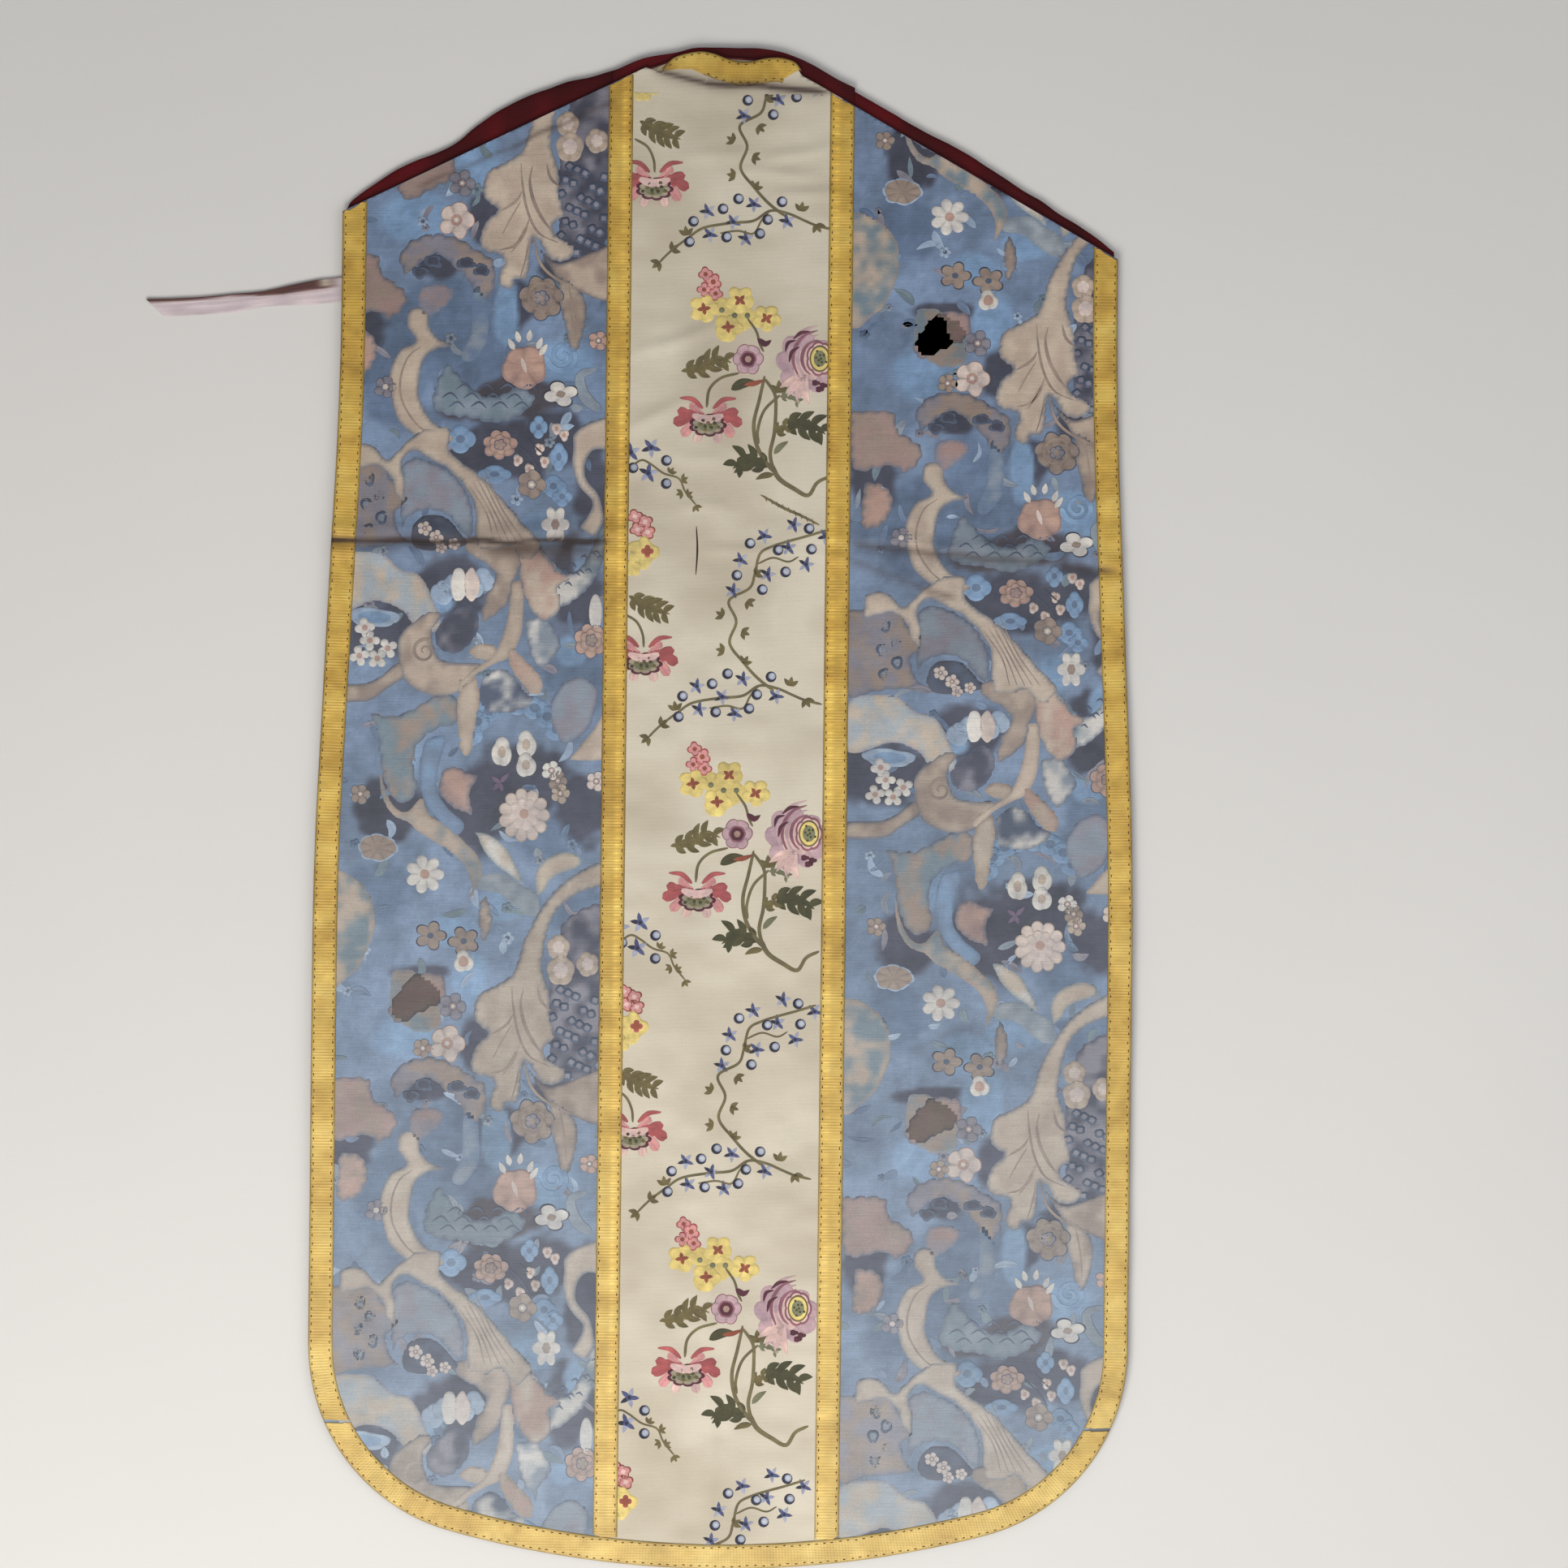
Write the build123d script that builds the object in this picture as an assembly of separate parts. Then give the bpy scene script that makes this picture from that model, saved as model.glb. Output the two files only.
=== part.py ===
"""Roman chasuble lying flat with its back panel uppermost.

X runs across the garment, +Y runs from the hem to the neck and +Z is up. The origin is at the
middle of the garment on the surface that it lies on. Every cloth layer is its own solid.
"""

from build123d import *
import math
import os

# Back panel, all sizes in millimetres
BACK_LENGTH = 1184.0
BACK_WIDTH = 640.0
BACK_SHOULDER_WIDTH = 606.0
BACK_FLARE_START_DROP = 262.0
BACK_FLARE_END_DROP = 632.0
BACK_FLARE_RADIUS = 3000.0
BACK_CORNER_RADIUS = 150.0
BACK_HEM_RADIUS = 800.0

# Neck and shoulders, where the two panels meet; a drop is measured down from the top of the neck
NECK_WIDTH = 134.0
NECK_PEAK_WIDTH = 70.0
NECK_RIGHT_PEAK_DROP = 4.0
LEFT_NECK_DROP = 11.5
RIGHT_NECK_DROP = 23.5
LEFT_TIP_DROP = 127.0
RIGHT_TIP_DROP = 158.0
NECK_NOTCH_DEPTH = 200.0

# Front panel
FRONT_LENGTH = 1124.0
FRONT_WIDTH = 570.0
FRONT_CHEST_WIDTH = 460.0
FRONT_CHEST_DROP = 340.0
FRONT_SHOULDER_SETBACK = 3.0
FRONT_CHEST_RADIUS = 420.0
FRONT_CORNER_RADIUS = 120.0
FRONT_HEM_RADIUS = 700.0

# Centre column and trimmings
COLUMN_WIDTH = 154.0
GALLOON_WIDTH = 19.0
GALLOON_THICKNESS = 0.8
SILK_THICKNESS = 0.5
INTERLINING_THICKNESS = 0.8
LINING_THICKNESS = 0.4
INTERLINING_SETBACK = 3.0
LINING_SETBACK = 1.5
MITRE_DROP = 1072.0
FRONT_MITRE_DROP = 1020.0

# Shoulder bindings, which show as a narrow rim outside the back panel's shoulders
LEFT_RIM = 15.0
RIGHT_RIM = 10.0
RIM_TAPER = 0.35
BINDING_LAP = 14.0
BINDING_CLEARANCE = 0.4

# Air between the two panels
PANEL_GAP = 2.4

# Waist tie and the patch that sews it inside the front panel
TIE_WIDTH = 18.0
TIE_THICKNESS = 0.6
ANCHOR_WIDTH = 26.0
ANCHOR_LENGTH = 24.0
ANCHOR_THICKNESS = 1.3
TIE_FILLET_SHARE = 0.45
TIE_ROUTE = [
    (-200.0, 412.6, 3.15),
    (-238.0, 409.2, 3.20),
    (-281.0, 407.0, 3.50),
    (-314.0, 403.8, 0.40),
    (-350.0, 398.8, 0.36),
    (-386.0, 393.4, 0.36),
    (-420.0, 389.8, 0.36),
    (-449.0, 388.9, 0.36),
]

# Heights and levels that follow from the sizes above
TOP = BACK_LENGTH / 2
SEAM_X = COLUMN_WIDTH / 2 + GALLOON_WIDTH / 2
PANEL_THICKNESS = GALLOON_THICKNESS + SILK_THICKNESS + INTERLINING_THICKNESS + LINING_THICKNESS
BACK_FLOOR = PANEL_THICKNESS + PANEL_GAP
REACH = BACK_LENGTH + BACK_WIDTH
CUT_MARGIN = 100.0

NODES = {}


def add(name, face, bottom, thickness):
    """Extrude a flat face into a cloth layer and keep it under its node name."""
    solid = extrude(Pos(0, 0, bottom) * face, amount=thickness, dir=(0, 0, 1))
    NODES[name] = solid


def box_face(x_low, x_high, y_low, y_high):
    """A rectangle between two corners."""
    centre = Pos((x_low + x_high) / 2, (y_low + y_high) / 2)
    return centre * Rectangle(x_high - x_low, y_high - y_low)


def hem_arcs(width, length, corner_radius, hem_radius):
    """The hem of a panel: a wide shallow arc between two tighter corner arcs.

    Returns the edges from the right side to the left side, and the height where the sides begin.
    """
    hem_y = TOP - length
    hem_centre_y = hem_y + hem_radius
    corner_x = width / 2 - corner_radius
    reach = hem_radius - corner_radius
    corner_y = hem_centre_y - math.sqrt(reach**2 - corner_x**2)
    join = Vector(corner_x, corner_y - hem_centre_y).normalized() * hem_radius
    join_point = (join.X, hem_centre_y + join.Y)
    swing = math.atan2(corner_y - join_point[1], join_point[0] - corner_x) / 2
    middle = (
        corner_x + corner_radius * math.cos(swing),
        corner_y - corner_radius * math.sin(swing),
    )
    right = ThreePointArc((width / 2, corner_y), middle, join_point)
    bottom = ThreePointArc(join_point, (0, hem_y), (-join_point[0], join_point[1]))
    left = mirror(right, about=Plane.YZ)
    return [*right.edges(), *bottom.edges(), *left.edges()], corner_y


def body_face(width, length, corner_radius, hem_radius, side_points, side_radii):
    """A panel without its neck and shoulders: it runs on above the top of the garment."""
    hem, corner_y = hem_arcs(width, length, corner_radius, hem_radius)
    top_y = TOP + CUT_MARGIN
    points = [(width / 2, corner_y)] + side_points + [(side_points[-1][0], top_y)]
    right = FilletPolyline(*points, radius=side_radii)
    left = mirror(right, about=Plane.YZ)
    top = Line((side_points[-1][0], top_y), (-side_points[-1][0], top_y))
    return make_face([*right.edges(), *hem, *left.edges(), *top.edges()])


def shoulder_height(x):
    """Height of the shoulder line at a place outside the neck."""
    neck = NECK_WIDTH / 2
    tip = BACK_SHOULDER_WIDTH / 2
    drops = (LEFT_NECK_DROP, LEFT_TIP_DROP) if x < 0 else (RIGHT_NECK_DROP, RIGHT_TIP_DROP)
    share = (abs(x) - neck) / (tip - neck)
    return TOP - drops[0] - (drops[1] - drops[0]) * share


def yoke_face():
    """Everything below the shoulder lines and the edge of the neck."""
    neck = NECK_WIDTH / 2
    peak = NECK_PEAK_WIDTH / 2
    return make_face(
        Polyline(
            (-REACH, shoulder_height(-REACH)),
            (-neck, TOP - LEFT_NECK_DROP),
            (-peak, TOP),
            (peak, TOP - NECK_RIGHT_PEAK_DROP),
            (neck, TOP - RIGHT_NECK_DROP),
            (REACH, shoulder_height(REACH)),
            (REACH, -REACH),
            (-REACH, -REACH),
            close=True,
        )
    )


def notch_face(grow=0.0):
    """The neck notch of the front panel, with its edge moved out by `grow`."""
    radius = NECK_WIDTH / 2
    centre_y = TOP - NECK_NOTCH_DEPTH + radius
    slot = box_face(-radius - grow, radius + grow, centre_y, TOP + CUT_MARGIN)
    return slot + Pos(0, centre_y) * Circle(radius + grow)


def binding_face(side, rim):
    """The strip of shoulder binding on one side, -1 for the left and 1 for the right."""
    neck = NECK_WIDTH / 2
    tip = BACK_SHOULDER_WIDTH / 2
    start = Vector(side * neck, shoulder_height(side * neck))
    end = Vector(side * tip, shoulder_height(side * tip))
    along = (end - start).normalized()
    outward = Vector(-side * along.Y, side * along.X)
    middle = (start + end) / 2 + outward * rim
    outer = ThreePointArc(start + outward * rim * RIM_TAPER, middle, end + outward * rim * RIM_TAPER)
    inner_start = start - outward * BINDING_LAP + along * BINDING_LAP
    inner_end = end - outward * BINDING_LAP - along * BINDING_LAP
    closing = Polyline(outer @ 1, inner_end, inner_start, outer @ 0)
    return make_face([*outer.edges(), *closing.edges()])


def panel_layers(prefix, panel, inner, hole, bottom, facing_down, column_top, mitre_y):
    """Build every layer of one panel.

    panel is the finished outline, inner is the same outline inside the edge galloon, hole tells
    whether it has a neck notch, and facing_down tells which way the galloons look.
    """
    stack = [
        ("galloon", GALLOON_THICKNESS),
        ("silk", SILK_THICKNESS),
        ("interlining", INTERLINING_THICKNESS),
        ("lining", LINING_THICKNESS),
    ]
    if not facing_down:
        stack.reverse()
    floors = {}
    height = bottom
    for layer, thickness in stack:
        floors[layer] = height
        height += thickness

    column = COLUMN_WIDTH / 2
    outer = column + GALLOON_WIDTH
    whole = panel - notch_face() if hole else panel
    trimmed = panel - notch_face(GALLOON_WIDTH) if hole else panel

    add(f"{prefix}_orphrey_silk", whole & box_face(-SEAM_X, SEAM_X, -REACH, REACH), floors["silk"],
        SILK_THICKNESS)
    add(f"{prefix}_brocade_left", whole & box_face(-REACH, -SEAM_X, -REACH, REACH), floors["silk"],
        SILK_THICKNESS)
    add(f"{prefix}_brocade_right", whole & box_face(SEAM_X, REACH, -REACH, REACH), floors["silk"],
        SILK_THICKNESS)
    add(f"{prefix}_interlining", offset(whole, amount=-INTERLINING_SETBACK), floors["interlining"],
        INTERLINING_THICKNESS)
    add(f"{prefix}_lining", offset(whole, amount=-LINING_SETBACK), floors["lining"],
        LINING_THICKNESS)

    field = trimmed & inner & box_face(-REACH, REACH, -REACH, column_top)
    add(f"{prefix}_column_galloon_left", field & box_face(-outer, -column, -REACH, REACH),
        floors["galloon"], GALLOON_THICKNESS)
    add(f"{prefix}_column_galloon_right", field & box_face(column, outer, -REACH, REACH),
        floors["galloon"], GALLOON_THICKNESS)

    edge = panel - inner
    add(f"{prefix}_edge_galloon_left", edge & box_face(-REACH, 0, mitre_y, REACH),
        floors["galloon"], GALLOON_THICKNESS)
    add(f"{prefix}_edge_galloon_right", edge & box_face(0, REACH, mitre_y, REACH),
        floors["galloon"], GALLOON_THICKNESS)
    add(f"{prefix}_hem_galloon", edge & box_face(-REACH, REACH, -REACH, mitre_y),
        floors["galloon"], GALLOON_THICKNESS)
    if hole:
        neck_band = panel & (notch_face(GALLOON_WIDTH) - notch_face())
    else:
        neck_band = (panel - Pos(0, -GALLOON_WIDTH) * yoke_face()) & box_face(
            -column, column, -REACH, REACH
        )
    add(f"{prefix}_neck_galloon", neck_band, floors["galloon"], GALLOON_THICKNESS)


def back_panel():
    """The back panel, uppermost, with its silks facing up."""
    side_points = [
        (BACK_WIDTH / 2, TOP - BACK_FLARE_END_DROP),
        (BACK_SHOULDER_WIDTH / 2, TOP - BACK_FLARE_START_DROP),
    ]
    body = body_face(BACK_WIDTH, BACK_LENGTH, BACK_CORNER_RADIUS, BACK_HEM_RADIUS, side_points,
                     [BACK_FLARE_RADIUS, BACK_FLARE_RADIUS])
    yoke = yoke_face()
    inner = offset(body, amount=-GALLOON_WIDTH)
    panel_layers("back", body & yoke, inner & yoke, False, BACK_FLOOR, False, REACH,
                 TOP - MITRE_DROP)


def front_panel():
    """The front panel, underneath, with its silks facing the surface it lies on."""
    tip = BACK_SHOULDER_WIDTH / 2 - FRONT_SHOULDER_SETBACK
    tip_drop = (LEFT_TIP_DROP + RIGHT_TIP_DROP) / 2
    side_points = [
        (FRONT_CHEST_WIDTH / 2, TOP - FRONT_CHEST_DROP),
        (tip, TOP - tip_drop),
    ]
    body = body_face(FRONT_WIDTH, FRONT_LENGTH, FRONT_CORNER_RADIUS, FRONT_HEM_RADIUS, side_points,
                     [FRONT_CHEST_RADIUS, GALLOON_WIDTH * 2])
    yoke = yoke_face()
    inner = offset(body, amount=-GALLOON_WIDTH)
    column_top = TOP - NECK_NOTCH_DEPTH + NECK_WIDTH / 2
    panel_layers("front", body & yoke, inner & yoke, True, 0.0, True, column_top,
                 TOP - FRONT_MITRE_DROP)


def bindings():
    """The two shoulder bindings, between the panels and proud of them."""
    thickness = PANEL_GAP - BINDING_CLEARANCE
    for name, side, rim in (("left", -1, LEFT_RIM), ("right", 1, RIGHT_RIM)):
        add(f"shoulder_binding_{name}", binding_face(side, rim), PANEL_THICKNESS, thickness)


def fillet_radii(points):
    """The largest tangent arc at each inner point of a route."""
    radii = []
    for before, here, after in zip(points, points[1:], points[2:]):
        run_in = Vector(*here) - Vector(*before)
        run_out = Vector(*after) - Vector(*here)
        turn = math.radians(run_in.get_angle(run_out))
        shorter = min(run_in.length, run_out.length)
        radii.append(TIE_FILLET_SHARE * shorter / math.tan(turn / 2))
    return radii


def tie():
    """The ribbon tie, from its patch inside the front panel out past the left edge."""
    radii = fillet_radii(TIE_ROUTE)
    path = FilletPolyline(*TIE_ROUTE, radius=radii)
    start = Vector(*TIE_ROUTE[0])
    heading = path % 0
    across = Vector(0, 0, 1).cross(heading)
    section = Plane(origin=start, x_dir=across, z_dir=heading) * Rectangle(TIE_WIDTH, TIE_THICKNESS)
    ribbon = sweep(section, path=path)
    NODES["tie_ribbon"] = ribbon
    expected = path.length * TIE_WIDTH * TIE_THICKNESS
    print(f"tie length {path.length:.1f} mm, radii", [round(radius) for radius in radii])
    print(f"tie volume {ribbon.volume:.1f}, section times length {expected:.1f}")

    patch = Rectangle(ANCHOR_LENGTH, ANCHOR_WIDTH)
    turned = Rot(0, 0, math.degrees(math.atan2(-heading.Y, -heading.X)))
    centre = start - Vector(heading.X, heading.Y, 0).normalized() * ANCHOR_LENGTH / 2
    add("tie_anchor", Pos(centre.X, centre.Y) * turned * patch, PANEL_THICKNESS, ANCHOR_THICKNESS)


def main():
    """Build every node and write one STEP file for each."""
    os.makedirs("parts", exist_ok=True)
    back_panel()
    front_panel()
    bindings()
    tie()
    for name, solid in NODES.items():
        export_step(solid, f"parts/{name}.step")


main()
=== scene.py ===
"""Roman chasuble lying flat with its back panel uppermost: its cloths, figures, braids and threads.

Sizes are in millimetres, X runs across the garment, +Y runs from the hem to the neck, +Z is up.
"""

import logging
import math
from collections.abc import Callable, Sequence
from dataclasses import dataclass, field
from enum import Enum

import bpy
import numpy as np
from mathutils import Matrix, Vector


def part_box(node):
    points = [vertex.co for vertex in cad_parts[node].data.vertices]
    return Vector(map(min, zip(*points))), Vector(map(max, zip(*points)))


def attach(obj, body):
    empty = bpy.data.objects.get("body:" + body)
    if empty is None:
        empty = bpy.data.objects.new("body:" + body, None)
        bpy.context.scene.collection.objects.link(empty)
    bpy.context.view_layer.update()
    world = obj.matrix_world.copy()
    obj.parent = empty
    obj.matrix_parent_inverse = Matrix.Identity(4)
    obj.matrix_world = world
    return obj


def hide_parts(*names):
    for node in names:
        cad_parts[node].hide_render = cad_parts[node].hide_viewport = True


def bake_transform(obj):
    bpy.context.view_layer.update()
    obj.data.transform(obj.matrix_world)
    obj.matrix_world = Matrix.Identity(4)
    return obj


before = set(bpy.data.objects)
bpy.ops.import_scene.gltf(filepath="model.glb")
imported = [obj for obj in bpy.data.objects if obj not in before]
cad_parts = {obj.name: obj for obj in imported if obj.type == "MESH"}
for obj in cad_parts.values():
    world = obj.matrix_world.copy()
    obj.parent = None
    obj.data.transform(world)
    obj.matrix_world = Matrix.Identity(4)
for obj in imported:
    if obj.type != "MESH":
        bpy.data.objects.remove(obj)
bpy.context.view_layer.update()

LOG = logging.getLogger("chasuble")
MM = 0.001
SEED = 1770

Point = tuple[float, float]
Points = Sequence[Point]


class Tone(Enum):
    """Colours of the dyed threads and cloths, as sRGB values from 0 to 255."""

    LILAC_BLUE = (112, 130, 156)
    SKY = (122, 150, 182)
    STEEL = (96, 114, 140)
    SLATE = (78, 88, 108)
    NAVY = (66, 68, 82)
    CHARCOAL = (74, 70, 78)
    PALE_BLUE = (154, 172, 194)
    TEAL_GREY = (112, 128, 138)
    BLUE_GREY = (130, 140, 152)
    BEIGE = (182, 163, 146)
    PALE_BEIGE = (196, 179, 160)
    TAUPE = (150, 132, 120)
    GREY_LILAC = (132, 128, 138)
    SALMON = (180, 146, 132)
    PINK_WHITE = (210, 192, 182)
    ROSE_TAUPE = (158, 131, 125)
    WHITE = (212, 206, 198)
    PURPLE = (110, 92, 114)
    HAZE = (166, 174, 180)
    CREAM = (217, 207, 186)
    CREAM_SHADE = (172, 158, 134)
    OLIVE = (114, 102, 66)
    DARK_GREEN = (78, 76, 52)
    SAGE = (128, 128, 98)
    ROSE = (178, 92, 92)
    PINK = (218, 152, 150)
    BLUSH = (232, 196, 186)
    MAUVE = (150, 100, 112)
    PALE_MAUVE = (198, 166, 172)
    WINE = (92, 48, 60)
    YELLOW = (232, 208, 128)
    RUSSET = (150, 82, 62)
    FLOSS_BLUE = (86, 92, 132)
    INK = (48, 50, 66)
    FLOSS_PALE = (168, 172, 194)
    BERRY = (196, 200, 204)
    STEM = (120, 110, 78)
    GOLD = (206, 168, 74)
    GOLD_LIGHT = (228, 198, 106)
    GOLD_SHADE = (160, 120, 44)
    # Pale gold that the braids are mixed toward near the hem.
    GOLD_PALE = (222, 204, 166)
    THREAD_BROWN = (92, 62, 30)
    CRIMSON = (92, 12, 18)
    DARK_CRIMSON = (76, 8, 13)
    LINEN = (186, 172, 142)
    RIBBON = (217, 200, 202)
    # Painted shade for the ribbon's folded-over side.
    RIBBON_PAINTED_SHADE = (88, 54, 48)
    # Dirt and painted shade in the creases; also the slit's dark band.
    SOIL_AND_SHADE = (46, 31, 26)


class Outline(Enum):
    """How the width of a woven figure runs along it."""

    EVEN = "even"
    LEAF = "leaf"
    PLUME = "plume"


def srgb(tone: Tone | tuple[float, float, float]) -> np.ndarray:
    """The three sRGB values of a tone."""
    return np.array(tone.value if isinstance(tone, Tone) else tone, float)


def linear(colour: np.ndarray) -> np.ndarray:
    """Turn sRGB values from 0 to 255 into linear ones from 0 to 1."""
    share = np.clip(np.asarray(colour, float) / 255.0, 0.0, 1.0)
    return np.where(share <= 0.04045, share / 12.92, ((share + 0.055) / 1.055) ** 2.4)


def noise(x: np.ndarray, y: np.ndarray, cell: float, seed: int) -> np.ndarray:
    """Smooth seeded noise.

    Args:
        x: places across, in millimetres.
        y: places along, in millimetres.
        cell: the size of one bump, in millimetres.
        seed: which noise.

    Returns:
        Values from -1 to 1.
    """
    size = 97
    lattice = np.random.RandomState(SEED + seed).uniform(-1.0, 1.0, (size, size))
    grid_x, grid_y = np.asarray(x) / cell + 1000.0, np.asarray(y) / cell + 1000.0
    column, row = np.floor(grid_x).astype(int), np.floor(grid_y).astype(int)
    part_x, part_y = grid_x - column, grid_y - row
    part_x, part_y = (part * part * (3.0 - 2.0 * part) for part in (part_x, part_y))
    west, east = column % size, (column + 1) % size
    south, north = row % size, (row + 1) % size
    low = lattice[south, west] * (1 - part_x) + lattice[south, east] * part_x
    high = lattice[north, west] * (1 - part_x) + lattice[north, east] * part_x
    return low * (1 - part_y) + high * part_y


def evenly(points: np.ndarray, step: float) -> np.ndarray:
    """Points at an even distance along a polyline, its ends kept."""
    points = np.asarray(points, float)
    run = np.concatenate([[0.0], np.cumsum(np.linalg.norm(np.diff(points, axis=0), axis=1))])
    places = np.linspace(0.0, run[-1], max(3, round(run[-1] / step) + 1))
    return np.stack([np.interp(places, run, points[:, k]) for k in range(points.shape[1])], axis=1)


def smooth_path(points: Points, step: float) -> np.ndarray:
    """A smooth curve through given points, as points `step` apart."""
    given = np.array(points, float)
    if len(given) == 2:
        return evenly(given, step)
    padded = np.vstack([2 * given[0] - given[1], given, 2 * given[-1] - given[-2]])
    share = np.linspace(0.0, 1.0, 12, endpoint=False)[:, None]
    spans = []
    for before, start, end, after in zip(padded, padded[1:], padded[2:], padded[3:]):
        spans.append(0.5 * (2 * start + (end - before) * share + (2 * before - 5 * start + 4 * end - after) *
            share**2 + (3 * start - before - 3 * end + after) * share**3))
    return evenly(np.vstack([*spans, given[-1:]]), step)


def normals(path: np.ndarray) -> np.ndarray:
    """Unit vectors to the left of a path's direction at each of its points."""
    heading = np.gradient(path, axis=0)
    heading /= np.maximum(np.linalg.norm(heading, axis=1, keepdims=True), 1e-9)
    return np.stack([-heading[:, 1], heading[:, 0]], axis=1)


def rounded(points: Points, radii: Sequence[float]) -> np.ndarray:
    """A polyline whose inner corners are rounded by tangent arcs."""
    result = [np.array(points[0], float)]
    for before, corner, after, radius in zip(points, points[1:], points[2:], radii):
        before, corner, after = (np.array(p, float) for p in (before, corner, after))
        run_in, run_out = corner - before, after - corner
        run_in, run_out = run_in / np.linalg.norm(run_in), run_out / np.linalg.norm(run_out)
        turn = math.atan2(run_in[0] * run_out[1] - run_in[1] * run_out[0], float(run_in @ run_out))
        start = corner - run_in * radius * abs(math.tan(turn / 2))
        centre = start + math.copysign(radius, turn) * np.array([-run_in[1], run_in[0]])
        for share in np.linspace(0.0, 1.0, 9):
            c, s = math.cos(turn * share), math.sin(turn * share)
            arm = start - centre
            result.append(centre + np.array([arm[0] * c - arm[1] * s, arm[0] * s + arm[1] * c]))
    result.append(np.array(points[-1], float))
    return np.array(result)


def arc(centre: Point, radius: float, start: float, end: float) -> np.ndarray:
    """Points along a circle between two angles, in degrees."""
    angles = np.radians(np.linspace(start, end, 25))
    return np.stack([centre[0] + radius * np.cos(angles), centre[1] + radius * np.sin(angles)], axis=1)


def inside(polygon: np.ndarray, x: np.ndarray, y: np.ndarray) -> np.ndarray:
    """Which of the given places lie inside a closed polygon."""
    found = np.zeros(np.shape(x), bool)
    for (x0, y0), (x1, y1) in zip(polygon, np.roll(polygon, -1, axis=0)):
        if y0 != y1:
            found ^= ((y0 > y) != (y1 > y)) & (x < (x1 - x0) * (y - y0) / (y1 - y0) + x0)
    return found


def pull_onto(polygon: np.ndarray, places: np.ndarray) -> np.ndarray:
    """The nearest point of a closed polygon's edge to each place."""
    start, end = polygon, np.roll(polygon, -1, axis=0)
    span = end - start
    reach = places[:, None, :] - start[None]
    share = (reach * span).sum(axis=2) / np.maximum((span * span).sum(axis=1), 1e-9)
    foot = start + np.clip(share, 0.0, 1.0)[..., None] * span
    nearest = np.argmin(((places[:, None, :] - foot) ** 2).sum(axis=2), axis=1)
    return foot[np.arange(len(places)), nearest]


def grid_faces(rows: int, columns: int, wrap: bool = False) -> np.ndarray:
    """Quads of a grid of points that is stored row by row; `wrap` closes each row on itself."""
    row, column = np.meshgrid(np.arange(rows - 1), np.arange(columns if wrap else columns - 1),
        indexing="ij")
    after = (column + 1) % columns
    quads = [row * columns + column, row * columns + after,
             (row + 1) * columns + after, (row + 1) * columns + column]
    return np.stack([q.ravel() for q in quads], axis=1)


def rim_edges(faces: np.ndarray) -> np.ndarray:
    """Edges that belong to one quad only, in their quad's direction."""
    edges = np.concatenate([faces[:, [k, (k + 1) % 4]] for k in range(4)])
    _, first, count = np.unique(np.sort(edges, axis=1), axis=0, return_index=True, return_counts=True)
    return edges[first[count == 1]]


def lattice(low: float, high: float, pitch: float) -> np.ndarray:
    """Grid lines on whole multiples of the pitch, with one at each end."""
    first, last = math.ceil(low / pitch + 0.3), math.floor(high / pitch - 0.3)
    return np.concatenate([[low], np.arange(first, last + 1) * pitch, [high]])


def clipped_grid(polygon: np.ndarray, low: Point, high: Point, pitch: float) -> tuple:
    """Square cells that fill a polygon between two corners, their cut edge pulled onto it.

    Args:
        polygon: the closed outline.
        low: the lower left corner of the part that is wanted.
        high: its upper right corner.
        pitch: the size of a cell.

    Returns:
        The points as an (n, 2) array, the quads as an (m, 4) array, and which points were pulled.
    """
    x, y = np.meshgrid(lattice(low[0], high[0], pitch), lattice(low[1], high[1], pitch))
    within = inside(polygon, x, y).ravel()
    quads = grid_faces(*x.shape)
    quads = quads[within[quads].any(axis=1)]
    used, quads = np.unique(quads, return_inverse=True)
    points = np.stack([x.ravel()[used], y.ravel()[used]], axis=1)
    outside = ~within[used]
    points[outside] = pull_onto(polygon, points[outside])
    return points, quads.reshape(-1, 4), outside


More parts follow.
